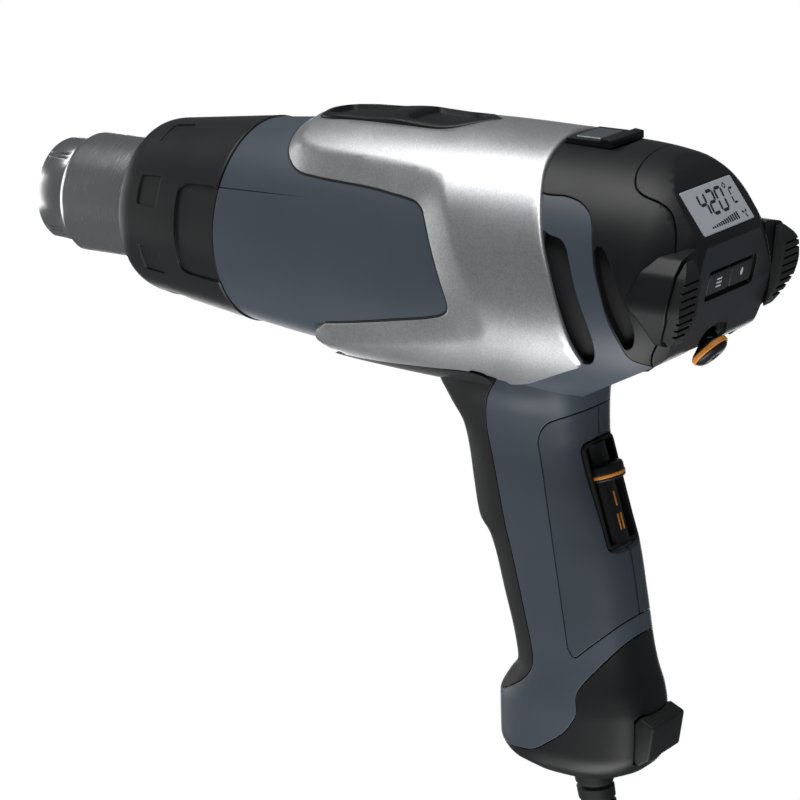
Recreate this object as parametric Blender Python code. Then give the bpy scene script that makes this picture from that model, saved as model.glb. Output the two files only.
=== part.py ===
"""Hot-air gun with a display, a joystick and a rear stand, as an assembly of separate pieces.

Lengths are in millimetres in this script and become metres when a mesh is made. The pieces are drawn in the
gun's own axes: x forward along the barrel from the rear, y to the left, z up away from the handle. An empty
then stands the gun on its two rear pads and on the handle's foot, outlet upwards, with the handle along +X.
"""

from math import cos, hypot, pi, radians, sin, tan

import bpy
from mathutils import Matrix, Vector

MM = 0.001
GAP = 0.3  # between pieces that touch
ROUND = 32  # sides of a turned piece

# Stance: the rear pads and the handle's foot touch one plane, which leans to the barrel.
LEAN = radians(9.0)
PAD_X, PAD_Z = 3.0, 3.0  # a point of the stand plane, on the pads
ROW_CENTRE = 66.92  # from the gun's origin to the middle of the whole object, along the table

# Outlet, sleeve and barrel
OUTLET_R, OUTLET_BORE_R, OUTLET_X = 17.0, 15.4, 255.6
TUBE_R, TUBE_FRONT_X, TUBE_REAR_X = 20.0, 242.0, 178.5
SLEEVE_FRONT_X, SLEEVE_REAR_X = 213.6, 170.8
SLEEVE_FRONT_R, SLEEVE_REAR_R = 27.7, 32.8
SLEEVE_TRAVEL = 46.0
WALL = 2.4

# (x, radius) down the barrel and the motor housing, and over the raised saddle
BODY = [(3.6, 9), (4.4, 15), (5.4, 20.5), (7, 24.5), (10.5, 28.5), (14, 32), (18, 35), (24, 37.3), (40, 38.9),
        (60, 39.3), (80, 38.9), (100, 38.0), (125, 36.6), (150, 34.7), (170.3, 32.7)]
SADDLE = [(30, 39.8), (60, 40.7), (80, 40.9), (100, 40.6), (122, 39.9), (140, 38.7), (149, 37.4), (154, 36.0)]
BODY_SHRINK = 0.3  # from the saddle's inner face to the housing

# Stations down the handle: (z, front, rear, half width)
HANDLE = [(-18, 104, 50, 21), (-36, 103.5, 50.8, 20.5), (-44, 100, 50.8, 18.6), (-52, 95, 50.6, 17.4),
          (-60, 93.2, 48.8, 16.8), (-70, 91.9, 45.2, 16.6), (-81, 90, 41.1, 16.4), (-86, 86.4, 39.6, 16.3),
          (-104, 80.9, 36.4, 16.2), (-118, 77.1, 34.2, 16.2), (-125, 76, 32.6, 16.6), (-131, 79.8, 30.4, 17.2),
          (-137, 82.7, 29.4, 17.6), (-150, 82.5, 29.6, 17.6), (-155, 79.8, 32.5, 16.6), (-158.5, 72, 39, 13)]
HANDLE_SQUARE = 2.6  # exponent of the handle's rounded section
HANDLE_SIDES = 24
FLOOR_WALL = 3.0

# Side outlines (x, z) that divide the shells
SADDLE_OUTLINE = [
    (154, 48), (152.5, 34.7), (150, 30.8), (146, 27.9), (141, 25.9), (132.7, 25.2), (111.7, 24.5), (100, 23.4),
    (94.5, 22.3), (91.3, 20.2), (89.3, 17.5), (86.3, 12), (82.8, 4), (80.2, -3.4), (79.3, -8), (80.5, -11),
    (86, -13.3), (102, -17.3), (116, -20.8), (134, -24.8), (136.5, -29), (133.5, -32.6), (113, -31.6),
    (94.3, -30.8), (77.3, -29.3), (72, -31), (67.5, -33), (60, -31.3), (53.5, -28.5), (35.6, -20.4),
    (37.5, -14.4), (40.1, -4.5), (43.5, 6.5), (47.3, 15.6), (50, 22.2), (52.8, 28.5), (55.6, 34.4), (60.5, 48)]
COVER_OUTLINE = [
    (61.4, 48), (56.4, 34.6), (53.4, 27.9), (45, 27.4), (39.8, 26.4), (35.6, 24), (33.6, 21), (31.8, 16),
    (30.3, 11), (27.4, 3), (25.1, -5), (22.8, -11), (20.6, -16.4), (16.3, -18.7), (14.5, -20),
    (13.5, -48), (-12, -48), (-12, 48)]
CAP_OUTLINE = [
    (29.6, 48), (28.8, 36.1), (27.5, 33.3), (25.6, 31), (22.6, 29.3), (17.5, 27.3), (14.2, 24.6), (11.8, 20),
    (10.6, 15), (9.6, 8), (10, 0), (12.3, -9), (15.2, -15.5), (15.9, -18.5), (15.9, -48), (-12, -48),
    (-12, 48)]
HEAD_OUTLINE = [  # the rear head from the side, with the display's facet and the key panel
    (66, 44), (36, 40.5), (24, 37.8), (18.8, 34), (15.8, 29.4), (6.6, 16.8), (5.6, 14.6), (5.5, 6), (7.3, -2),
    (9.6, -9), (12.6, -17), (16.4, -19.6), (24.5, -23.8), (34, -28.8), (44, -34.2), (62, -44), (66, -44)]
UNDERSIDE = [  # what is cut away under the rear head, where its underside rises to the rear
    (0, -17), (12.6, -17), (16.4, -19.6), (24.5, -23.8), (34, -28.8), (44, -34.2), (54, -39.6), (54, -60),
    (0, -60)]
GRIP_OUTLINE = [  # black front grip: under the saddle and down the handle's front
    (134.5, -33.4), (113, -32.4), (94.3, -31.6), (78, -30.2), (73.5, -32), (79, -41), (80, -50), (78.6, -58),
    (74.4, -80), (65.2, -118.5), (64.6, -124), (68, -129), (77, -135), (90, -139), (110, -120), (140, -40)]
BASE_OUTLINE = [  # black foot of the handle
    (10, -102), (33, -110), (46, -126), (48.5, -130), (47.5, -136), (52, -143), (63, -151), (72, -152.4),
    (95, -156), (95, -175), (10, -175)]
PANEL_OUTLINE = [  # inset side panel of the handle
    (62.2, -51), (59.6, -46), (50, -42.5), (30, -40), (20, -60), (20, -98), (36, -106), (49.6, -118.6),
    (51.6, -116)]
PANEL_DEPTH = 1.4

# Vent slots on each side: centre line (x, z) and width
FRONT_VENT = [(46.2, 14), (41.4, 5), (37.6, -6), (35.2, -15)]
REAR_VENT = [(28.6, 14), (25.4, 5), (22.4, -4), (20.4, -10)]
VENT_WIDTH = 5.0
VENT_REACH = 60

# Display and keys, on the rear head
DISPLAY_TOP, DISPLAY_FOOT = (15.8, 29.4), (6.6, 16.8)
DISPLAY_HALF_WIDTH, DISPLAY_HEIGHT = 14.6, 14.6
KEY_TILT = radians(12.7)
KEY_CENTRE = (6.3, 2.4)
KEY_SIZE = (12.4, 6.6)
KEY_TRAVEL = 1.2
KEY_PITCH = 13.2

# Joystick
STICK_CENTRE = (16.2, -17.4)
STICK_DIRECTION = (-0.72, -0.69)
STICK_R = 6.2

# Switch on the handle's back
SWITCH_TOP, SWITCH_FOOT = (50.3, -53), (40.6, -85)
SWITCH_HALF_WIDTH = 8.5
SWITCH_KNOB_R = 6.4
SWITCH_TRAVEL = 16.0

# Cord
CORD_D = 7.0
BOOT_EXIT = (53.0, -158.5)
BOOT_LENGTH, BOOT_R, BOOT_END_R = 42.0, 6.2, 4.6
BOOT_DROP = radians(20)

for old in list(bpy.data.objects):
    bpy.data.objects.remove(old)


def row(x, z, y=0.0):
    """A point of the gun's axes as it stands on the table, in millimetres."""
    c, s = cos(LEAN), sin(LEAN)
    return (-z * c + x * s - ROW_CENTRE, y, (x - PAD_X) * c + (z - PAD_Z) * s)


def material(name, colour, roughness, metallic=0.0):
    made = bpy.data.materials.new(name)
    made.use_nodes = True
    shader = made.node_tree.nodes["Principled BSDF"]
    shader.inputs["Base Color"].default_value = (*colour, 1)
    shader.inputs["Roughness"].default_value = roughness
    shader.inputs["Metallic"].default_value = metallic
    made.diffuse_color = (*colour, 1)
    return made


STEEL = material("steel", (0.62, 0.61, 0.60), 0.25, 1.0)
SHELL = material("blue_grey_plastic", (0.075, 0.095, 0.12), 0.45)
SILVER = material("silver_paint", (0.55, 0.56, 0.57), 0.3, 0.8)
BLACK = material("black_plastic", (0.012, 0.012, 0.014), 0.45)
RUBBER = material("black_rubber", (0.015, 0.015, 0.016), 0.8)
ORANGE = material("orange_plastic", (0.8, 0.3, 0.03), 0.4)
LCD = material("display_glass", (0.38, 0.41, 0.44), 0.15)
CERAMIC = material("ceramic", (0.75, 0.7, 0.6), 0.8)
MICA = material("mica", (0.45, 0.36, 0.22), 0.5)
BOARD = material("circuit_board", (0.03, 0.2, 0.07), 0.4)
WIRE = material("heating_wire", (0.3, 0.28, 0.27), 0.35, 1.0)
FELT = material("filter_mesh", (0.05, 0.05, 0.05), 0.9)

GUN = bpy.data.objects.new("gun_axes", None)
bpy.context.scene.collection.objects.link(GUN)
GUN.matrix_world = Matrix.Translation(Vector(row(0, 0)) * MM) @ Matrix.Rotation(-(pi / 2 - LEAN), 4, "Y")


def solid(name, points, faces, finish, parent=GUN, origin=(0, 0, 0)):
    """One closed mesh from points in millimetres. Its origin is moved to a point of the parent's axes."""
    mesh = bpy.data.meshes.new(name)
    start = Vector(origin)
    mesh.from_pydata([(Vector(p) - start) * MM for p in points], [], faces)
    mesh.validate()
    made = bpy.data.objects.new(name, mesh)
    bpy.context.scene.collection.objects.link(made)
    made.parent = parent
    made.location = start * MM
    if finish is None:
        made.hide_render = True
        made.display_type = "WIRE"
    else:
        mesh.materials.append(finish)
        mesh.shade_smooth()
        mesh.set_sharp_from_angle(angle=radians(35))
    return made


def outward(points, faces):
    """The faces turned, if need be, so that the closed mesh faces out."""
    volume = 0.0
    for face in faces:
        a = Vector(points[face[0]])
        for i in range(1, len(face) - 1):
            volume += a.dot(Vector(points[face[i]]).cross(Vector(points[face[i + 1]])))
    return faces if volume > 0 else [face[::-1] for face in faces]


def loft(name, rings, finish, ends=True, parent=GUN, origin=(0, 0, 0)):
    """Rings with one count of points joined in turn. With ends the two outer rings are filled in."""
    count = len(rings[0])
    points = [p for ring in rings for p in ring]
    faces = []
    pairs = len(rings) - 1 if ends else len(rings)
    for k in range(pairs):
        a, b = k * count, (k + 1) % len(rings) * count
        for i in range(count):
            j = (i + 1) % count
            faces.append([a + i, a + j, b + j, b + i])
    if ends:
        faces.append(list(range(count))[::-1])
        faces.append([(len(rings) - 1) * count + i for i in range(count)])
    return solid(name, points, outward(points, faces), finish, parent, origin)


def circle(x, radius, sides=ROUND, y=0.0, z=0.0):
    turn = 2 * pi / sides
    return [(x, y + radius * sin(turn * i), z + radius * cos(turn * i)) for i in range(sides)]


def turned(name, outline, finish, sides=ROUND, hollow=True, parent=GUN, y=0.0, z=0.0):
    """A piece turned about a line along x. A hollow piece's (x, radius) outline closes on itself."""
    return loft(name, [circle(x, r, sides, y, z) for x, r in outline], finish, not hollow, parent)


def prism(name, outline, low, high, finish=None, parent=GUN):
    """A side outline (x, z) drawn out along y."""
    return loft(name, [[(x, y, z) for x, z in outline] for y in (low, high)], finish, parent=parent)


def block(name, low, high, finish=None, parent=GUN):
    return prism(name, [(low[0], low[2]), (high[0], low[2]), (high[0], high[2]), (low[0], high[2])],
                 low[1], high[1], finish, parent)


def shown(made, finish):
    """Turns a shape that was made as a cutter into a piece."""
    made.hide_render = False
    made.display_type = "TEXTURED"
    made.data.materials.append(finish)
    made.data.shade_smooth()
    made.data.set_sharp_from_angle(angle=radians(35))
    return made


def boolean(target, other, kind="DIFFERENCE"):
    step = target.modifiers.new(kind.lower(), "BOOLEAN")
    step.operation = kind
    step.object = other
    step.solver = "EXACT"
    return target


def soften(target, width, segments=1):
    """Bevelled edges, on a piece with few faces."""
    step = target.modifiers.new("soft_edges", "BEVEL")
    step.width = width * MM
    step.segments = segments
    step.limit_method = "ANGLE"
    step.angle_limit = radians(40)
    return target


def grown(outline, by=GAP):
    """A closed outline moved outwards, or inwards if by is negative."""
    count = len(outline)
    area = sum(outline[i - 1][0] * outline[i][1] - outline[i][0] * outline[i - 1][1] for i in range(count))
    side = 1 if area > 0 else -1
    moved = []
    for i in range(count):
        (ax, az), (bx, bz), (cx, cz) = outline[i - 1], outline[i], outline[(i + 1) % count]
        before, after = hypot(bx - ax, bz - az), hypot(cx - bx, cz - bz)
        n1 = ((bz - az) / before, (ax - bx) / before)
        n2 = ((cz - bz) / after, (bx - cx) / after)
        nx, nz = n1[0] + n2[0], n1[1] + n2[1]
        scale = side * by * 2 / max(nx * nx + nz * nz, 0.6)
        moved.append((bx + nx * scale, bz + nz * scale))
    return moved


def between(table, x, column=1):
    """A value read between a table's rows."""
    for a, b in zip(table, table[1:]):
        if (a[0] - x) * (b[0] - x) <= 0:
            return a[column] + (b[column] - a[column]) * (x - a[0]) / (b[0] - a[0])
    raise ValueError(f"{x} is outside the table")


def body_outline(start, end, inset):
    """(x, radius) of the body from start to end, drawn in by inset."""
    inside = [(x, r - inset) for x, r in BODY if start < x < end]
    return [(start, between(BODY, start) - inset), *inside, (end, between(BODY, end) - inset)]


def body_solid(name, start, end, inset):
    return turned(name, body_outline(start, end, inset), None, hollow=False)


def shell_ring(name, outer, inner, finish=None):
    """A turned wall between two (x, radius) lines."""
    return turned(name, outer + inner[::-1], finish)


def handle_ring(z, front, rear, half, inset):
    """One rounded section of the handle, drawn in by inset."""
    power = 2 / HANDLE_SQUARE
    centre, a, b = (front + rear) / 2, (front - rear) / 2 - inset, half - inset
    ring = []
    for i in range(HANDLE_SIDES):
        turn = 2 * pi * (i + 0.5) / HANDLE_SIDES
        c, s = cos(turn), sin(turn)
        ring.append((centre + a * (abs(c) ** power) * (1 if c > 0 else -1),
                     b * (abs(s) ** power) * (1 if s > 0 else -1), z))
    return ring


def handle_solid(name, inset, top=-18.0, foot=-158.5):
    """The handle's outer shape drawn in by inset, from one height to another."""
    stations = [s for s in HANDLE if foot < s[0] < top]
    for z, place in ((top, 0), (foot, len(stations) + 1)):
        stations.insert(place, (z, *(between(HANDLE, z, k) for k in (1, 2, 3))))
    return loft(name, [handle_ring(*s, inset) for s in stations], None)


def strip(line, width):
    """An outline of one width about a line of points, with pointed ends."""
    left, right = [], []
    for i, (x, z) in enumerate(line):
        ax, az = line[max(i - 1, 0)]
        bx, bz = line[min(i + 1, len(line) - 1)]
        length = hypot(bx - ax, bz - az)
        nx, nz = (bz - az) / length * width / 2, (ax - bx) / length * width / 2
        left.append((x + nx, z + nz))
        right.append((x - nx, z - nz))
    (ax, az), (bx, bz) = line[0], line[1]
    (cx, cz), (dx, dz) = line[-2], line[-1]
    first = (ax + (ax - bx) * 0.35, az + (az - bz) * 0.35)
    last = (dx + (dx - cx) * 0.35, dz + (dz - cz) * 0.35)
    return [first, *left, last, *right[::-1]]


# Cutters that several pieces share
HALF = {"left": block("cut_right_half", (-20, -60, -180), (270, GAP / 2, 60)),
        "right": block("cut_left_half", (-20, -GAP / 2, -180), (270, 60, 60))}
CUT_COVER = prism("cut_cover_region", grown(COVER_OUTLINE), -60, 60)
CUT_CAP = prism("cut_cap_region", grown(CAP_OUTLINE), -60, 60)
CUT_GRIP = prism("cut_grip_region", grown(GRIP_OUTLINE), -60, 60)
CUT_BASE = prism("cut_base_region", grown(BASE_OUTLINE), -60, 60)
KEEP_HEAD = prism("keep_head", HEAD_OUTLINE, -60, 60)
KEEP_HEAD_INNER = prism("keep_head_inner", grown(HEAD_OUTLINE, -WALL), -60, 60)
CUT_UNDERSIDE = prism("cut_underside", UNDERSIDE, -60, 60)
BODY_CAVITY = boolean(body_solid("body_cavity", 9, 168, WALL + BODY_SHRINK),
                      prism("cavity_floor", grown(UNDERSIDE, WALL), -60, 60))
HANDLE_CAVITY = handle_solid("handle_cavity", WALL + PANEL_DEPTH + GAP, -18.0, -152.0)
HANDLE_OUTER = handle_solid("handle_outer", 0)


# ---- Blue-grey housing: barrel, motor housing and handle, in two halves ----
def panel_recess(name):
    """The side panels' place in the handle: the panel outline outside an inner handle shape."""
    cutter = prism(name, grown(PANEL_OUTLINE), -60, 60)
    return boolean(cutter, handle_solid(name + "_core", PANEL_DEPTH + GAP, -30, -140))


PANEL_RECESS = panel_recess("panel_recess")
SWITCH_SLOPE = (SWITCH_TOP[0] - SWITCH_FOOT[0]) / (SWITCH_TOP[1] - SWITCH_FOOT[1])


def switch_box(name, grow, deep, low, high):
    """A box along the handle's back, from deep inside it to outside, between two distances down the slot."""
    top = Vector((SWITCH_TOP[0], SWITCH_TOP[1]))
    along = (Vector((SWITCH_FOOT[0], SWITCH_FOOT[1])) - top).normalized()
    inward = Vector((-along[1], along[0]))
    a, b = top + along * (low - grow), top + along * (high + grow)
    corners = [a - inward * 12, b - inward * 12, b + inward * deep, a + inward * deep]
    half = SWITCH_HALF_WIDTH + grow
    return prism(name, [tuple(c) for c in corners], -half, half)


SWITCH_LENGTH = hypot(SWITCH_TOP[0] - SWITCH_FOOT[0], SWITCH_TOP[1] - SWITCH_FOOT[1])
CUT_SWITCH = switch_box("cut_switch", GAP, 12 + GAP, 0, SWITCH_LENGTH)
INLAY_OUTLINE = [(147, 32), (146, 48), (85, 48), (84, 34)]
LATCH_START, LATCH_END, LATCH_HALF_WIDTH = 41.2, 56.6, 9.2
LATCH_LOW, LATCH_TOP = 38.0, 39.9
LATCH_TRAVEL = 2.5


def vents(target, line, kind):
    for side, sign in (("left", 1), ("right", -1)):
        low, high = sorted((sign * 22, sign * VENT_REACH))
        boolean(target, prism(f"{kind}_vent_{side}_of_{target.name}", strip(line, VENT_WIDTH), low, high))


def housing(side):
    made = shown(body_solid(f"housing_{side}", 14.5, 170.3, BODY_SHRINK), SHELL)
    boolean(made, CUT_UNDERSIDE)
    boolean(made, HANDLE_OUTER, "UNION")
    boolean(made, turned(f"neck_{side}", [(166, 20), (178, 20), (178, 29), (166, 29)][::-1], None), "UNION")
    for cutter in (BODY_CAVITY, HANDLE_CAVITY, CUT_COVER, CUT_CAP, CUT_GRIP, CUT_BASE, PANEL_RECESS, CUT_SWITCH):
        boolean(made, cutter)
    boolean(made, turned(f"neck_bore_{side}", [(160, 24.5), (190, 24.5)], None, hollow=False))
    vents(made, FRONT_VENT, "front")
    boolean(made, HALF[side])


for side in ("left", "right"):
    housing(side)


# ---- Silver saddle and its black top inlay ----
def raised(line, inset=0.0):
    return [(x, r - inset) for x, r in line]


def saddle_wall(name, finish=None):
    """The wall between the housing and the saddle's outer face."""
    inner = body_outline(SADDLE[0][0], SADDLE[-1][0], 0)
    return shell_ring(name, raised(SADDLE), inner, finish)


saddle = saddle_wall("silver_saddle", SILVER)
boolean(saddle, prism("saddle_region", SADDLE_OUTLINE, -60, 60), "INTERSECT")
boolean(saddle, prism("cut_inlay", grown(INLAY_OUTLINE), -11.8, 11.8))

inlay = shell_ring("top_inlay", [(84.6, 40.6), (100, 41.2), (122, 40.6), (140, 39.3), (146.4, 38.5)],
                   [(84.6, 39.3), (100, 38.6), (125, 37.2), (146.4, 35.4)], BLACK)
boolean(inlay, block("keep_inlay", (84.8, -11.5, 20), (146.2, 11.5, 50)), "INTERSECT")
for name, start, end in (("front", 119.5, 142), ("rear", 91, 112.5)):
    boolean(inlay, block(f"inlay_pocket_{name}", (start, -7.5, 39.0), (end, 7.5, 60)))

# ---- Inlet cover with the rear vents, the latch, and filters behind the slots ----
cover = shell_ring("inlet_cover", body_outline(9, 60, 0)[::-1], body_outline(9, 60, WALL)[::-1], BLACK)
boolean(cover, prism("cover_region", COVER_OUTLINE, -60, 60), "INTERSECT")
boolean(cover, KEEP_HEAD, "INTERSECT")
boolean(cover, CUT_CAP)
vents(cover, REAR_VENT, "rear")
boolean(cover, block("latch_pocket", (LATCH_START - LATCH_TRAVEL - GAP, -LATCH_HALF_WIDTH - GAP,
                                      LATCH_LOW - GAP), (70, LATCH_HALF_WIDTH + GAP, 50)))

latch = prism("filter_latch", [
    (LATCH_START, LATCH_LOW), (LATCH_END, LATCH_LOW), (LATCH_END, LATCH_TOP), (LATCH_START + 4, LATCH_TOP),
    (LATCH_START + 3, LATCH_TOP + 1.4), (LATCH_START, LATCH_TOP + 1)],
    -LATCH_HALF_WIDTH, LATCH_HALF_WIDTH, BLACK)
boolean(latch, block("latch_seat", (LATCH_START + 5, -6.8, LATCH_TOP - 0.9), (LATCH_END - 1.2, 6.8, 44)))
block("latch_insert", (LATCH_START + 5.3, -6.5, LATCH_TOP - 0.6), (LATCH_END - 1.5, 6.5, LATCH_TOP + 0.3),
      SILVER)

for side, sign in (("left", 1), ("right", -1)):
    outer = body_outline(16, 52, WALL + 0.9)
    mesh = shell_ring(f"inlet_filter_{side}", outer, body_outline(16, 52, WALL + 2.4), FELT)
    low, high = sorted((sign * 27.5, sign * 60))
    boolean(mesh, block(f"keep_filter_{side}", (17, low, -17), (51, high, 17)), "INTERSECT")

# ---- Rear cap with the display, the keys and the joystick ----
cap = shown(body_solid("rear_cap", 3.7, 34, 0), BLACK)
boolean(cap, KEEP_HEAD, "INTERSECT")
boolean(cap, prism("cap_region", CAP_OUTLINE, -60, 60), "INTERSECT")
cap_cavity = body_solid("cap_cavity", 6.5, 40, WALL)
boolean(cap, boolean(cap_cavity, KEEP_HEAD_INNER, "INTERSECT"))


def frame_on(centre, normal, y=0.0):
    """Axes on a face of the head: local x out of the face, local y to the gun's left."""
    out = Vector((normal[0], 0, normal[1])).normalized()
    side = Vector((0, 1, 0))
    up = out.cross(side)
    turn = Matrix((out, side, up)).transposed().to_4x4()
    return Matrix.Translation(Vector((centre[0], y, centre[1]))) @ turn


def plate(name, axes, size, out, finish=None, corner=0.0, parent=GUN, origin=None):
    """A plate on a face: size across and up, from out[0] to out[1] off the face, with cut corners."""
    half_y, half_z = size[0] / 2, size[1] / 2
    c = corner
    ring = [(half_y, half_z - c), (half_y - c, half_z), (-half_y + c, half_z), (-half_y, half_z - c),
            (-half_y, -half_z + c), (-half_y + c, -half_z), (half_y - c, -half_z), (half_y, -half_z + c)]
    if not c:
        ring = [(half_y, half_z), (-half_y, half_z), (-half_y, -half_z), (half_y, -half_z)]
    rings = [[tuple(axes @ Vector((x, y, z))) for y, z in ring] for x in out]
    return loft(name, rings, finish, parent=parent, origin=origin or (0, 0, 0))


facet = Vector((DISPLAY_TOP[0] - DISPLAY_FOOT[0], DISPLAY_TOP[1] - DISPLAY_FOOT[1])).normalized()
display_centre = ((DISPLAY_TOP[0] + DISPLAY_FOOT[0]) / 2, (DISPLAY_TOP[1] + DISPLAY_FOOT[1]) / 2)
display_axes = frame_on(display_centre, (-facet[1], facet[0]))
display_size = (2 * DISPLAY_HALF_WIDTH, DISPLAY_HEIGHT)
boolean(cap, plate("cut_display", display_axes, (display_size[0] + 0.6, display_size[1] + 0.6), (-9, 5)))
plate("display_window", display_axes, display_size, (-1.2, 0.1), LCD, corner=0.8)
plate("display_panel", display_axes, (display_size[0] - 1, display_size[1] - 1), (-3.4, -1.5), LCD)
plate("display_board", display_axes, (31, 17), (-6.2, -4.6), BOARD, corner=3)

key_axes = frame_on(KEY_CENTRE, (-cos(KEY_TILT), -sin(KEY_TILT)))
boolean(cap, plate("cut_key_recess", key_axes, (28.4, 9.4), (-1.4, 6), corner=1.5))
for name, place in (("button_program", 0.5), ("button_fan", -0.5)):
    axes = key_axes @ Matrix.Translation((0, place * KEY_PITCH, 0))
    boolean(cap, plate(f"cut_{name}", axes, (KEY_SIZE[0] + 0.6, KEY_SIZE[1] + 0.6), (-7, 6), corner=1.0))
    centre = tuple(axes @ Vector((-0.4, 0, 0)))
    plate(name, axes, KEY_SIZE, (-3.6, -0.4), BLACK, corner=1.0, origin=centre)

stick_axes = frame_on(STICK_CENTRE, STICK_DIRECTION)


def on_stick(name, outline, finish=None, hollow=False, sides=24, origin=None):
    """A piece turned about the joystick's own line, from (distance out, radius) points."""
    rings = [[tuple(stick_axes @ Vector(p)) for p in circle(x, r, sides)] for x, r in outline]
    return loft(name, rings, finish, not hollow, origin=origin or (0, 0, 0))


stick_pivot = tuple(stick_axes @ Vector((-6.0, 0, 0)))
cut_stick = on_stick("cut_stick", [(-6, 4.2), (-1, 5), (0.5, 9.0), (12, 9.0)])
boolean(cap, cut_stick)
boolean(cover, cut_stick)
for side in ("left", "right"):
    boolean(bpy.data.objects[f"housing_{side}"], cut_stick)
on_stick("joystick_head", [(-4.4, 1.6), (1.2, 1.9), (2.6, 4.4), (3.2, 5.6), (5.4, 5.6), (6.6, 4.4), (6.9, 2.0)],
         BLACK, origin=stick_pivot)
on_stick("joystick_ring", [(3.5, 5.9), (3.5, STICK_R), (5.1, STICK_R), (5.1, 5.9)][::-1], ORANGE, True,
         origin=stick_pivot)
on_stick("joystick_gimbal", [(-6.4, 1.5), (-6.4, 3.2), (-4.7, 3.2), (-4.7, 1.5)][::-1], STEEL, True,
         origin=stick_pivot)
on_stick("joystick_socket", [(-10.5, 3.4), (-7.1, 3.4)], BLACK)

# ---- Stand arms and ribbed pads ----
ARM_REAR_VIEW = [(20, 15.4), (29, 13.6), (33.5, 9.6), (35.4, 4.6), (36.3, 2), (35.9, -1), (33, -7), (30, -12),
                 (22, -14.4), (18, -12)]


def rear_prism(name, outline, start, end, sign, finish=None):
    """An outline (y, z) seen from the rear, drawn out along x, on one side of the gun."""
    return loft(name, [[(x, sign * y, z) for y, z in outline] for x in (start, end)], finish)


def stand_x(z):
    """Where the stand plane lies at a height."""
    return PAD_X + (PAD_Z - z) * tan(LEAN)


PAD_SIDE = [(5.2, 13.2), (3.4, 10.6), (stand_x(7.5), 7.5), (stand_x(-3.5), -3.5), (6.2, -8), (8.8, -12),
            (11.6, -10.4), (8.0, -3.5), (6.4, 2), (5.8, 7.5)]
ARM_SIDE = [(6.1, 16), (6.1, 7.5), (6.7, 2), (8.3, -3.6), (12, -10.8), (11, -16), (27, -16), (27, 16)]
for side, sign in (("left", 1), ("right", -1)):
    arm = rear_prism(f"stand_arm_{side}", ARM_REAR_VIEW, 0, 26, sign, BLACK)
    boolean(arm, prism(f"arm_side_{side}", ARM_SIDE, -60, 60), "INTERSECT")
    boolean(arm, body_solid(f"arm_seat_{side}", 3.7, 40, -GAP))
    pad = rear_prism(f"stand_pad_{side}", grown(ARM_REAR_VIEW, -0.8), 0, 26, sign, RUBBER)
    boolean(pad, prism(f"pad_side_{side}", PAD_SIDE, -60, 60), "INTERSECT")
    boolean(pad, body_solid(f"pad_seat_{side}", 3.7, 40, -GAP))
    boolean(pad, block(f"pad_inner_{side}", (-5, -24.4, -20), (20, 24.4, 20)))

# ---- Handle: front grip, side panels, base, foot pad ----
grip = saddle_wall("front_grip", RUBBER)
boolean(grip, HANDLE_OUTER, "UNION")
boolean(grip, prism("grip_region", GRIP_OUTLINE, -60, 60), "INTERSECT")
boolean(grip, HANDLE_CAVITY)
boolean(grip, body_solid("grip_core", 30, 165, 0))
boolean(grip, CUT_BASE)

for side in ("left", "right"):
    panel = shown(handle_solid(f"grip_panel_{side}", 0, -30, -140), SHELL)
    boolean(panel, prism(f"panel_region_{side}", PANEL_OUTLINE, -60, 60), "INTERSECT")
    boolean(panel, handle_solid(f"panel_core_{side}", PANEL_DEPTH, -20, -150))
    boolean(panel, switch_box(f"panel_switch_{side}", GAP * 2, 12, 0, SWITCH_LENGTH))
    boolean(panel, HALF[side])

base = shown(handle_solid("handle_base", 0), BLACK)
boolean(base, prism("base_region", BASE_OUTLINE, -60, 60), "INTERSECT")
boolean(base, handle_solid("base_cavity", WALL + 0.8, -90, -158.5 + FLOOR_WALL))

boolean(base, loft("cut_boot", [[(BOOT_EXIT[0] + 4.7 * cos(2 * pi * i / 20), 4.7 * sin(2 * pi * i / 20), z)
                                 for i in range(20)] for z in (-165, -150)], None))

FOOT = [(stand_x(-138.5), -138.5), (stand_x(-149.5), -149.5), (31.2, -152.2), (33.4, -149.5), (33.4, -139),
        (30.6, -136.2)]
FOOT_HALF_WIDTH = 9.5
boolean(base, prism("cut_foot", grown(FOOT), -FOOT_HALF_WIDTH - GAP, FOOT_HALF_WIDTH + GAP))
foot = soften(prism("foot_pad", FOOT, -FOOT_HALF_WIDTH, FOOT_HALF_WIDTH, RUBBER), 0.5)


# ---- Switch on the handle's back ----
def along_switch(distance, depth, y=0.0):
    """A point a distance down the slot and a depth under the handle's back."""
    top = Vector((SWITCH_TOP[0], SWITCH_TOP[1]))
    along = (Vector((SWITCH_FOOT[0], SWITCH_FOOT[1])) - top).normalized()
    inward = Vector((-along[1], along[0]))
    x, z = top + along * distance + inward * depth
    return (x, y, z)


def switch_block(name, start, end, depth, half, finish):
    corners = [along_switch(d, p) for d, p in ((start, depth[0]), (end, depth[0]), (end, depth[1]),
                                               (start, depth[1]))]
    return prism(name, [(c[0], c[2]) for c in corners], -half, half, finish)


track = switch_block("switch_track", 0, SWITCH_LENGTH, (1.0, 12), SWITCH_HALF_WIDTH, BLACK)
boolean(track, switch_block("cut_track", 1.2, SWITCH_LENGTH - 1.2, (-9, 8.6), SWITCH_HALF_WIDTH - 1.0, None))
KNOB_START = 10.2
KNOB_THICK = 5.2


def knob(name, start, thick, radius, finish, hole=None):
    """A disc about a line down the slot, or a ring where a hole is given."""
    sides = 28
    rings = []
    steps = [(start, radius), (start + thick, radius)]
    if hole:
        steps = [(start, hole), (start, radius), (start + thick, radius), (start + thick, hole)]
    for distance, r in steps:
        rings.append([along_switch(distance, 1.8 + r * cos(2 * pi * i / sides), r * sin(2 * pi * i / sides))
                      for i in range(sides)])
    origin = along_switch(KNOB_START, 1.8)
    return loft(name, rings, finish, ends=not hole, origin=origin)


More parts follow.
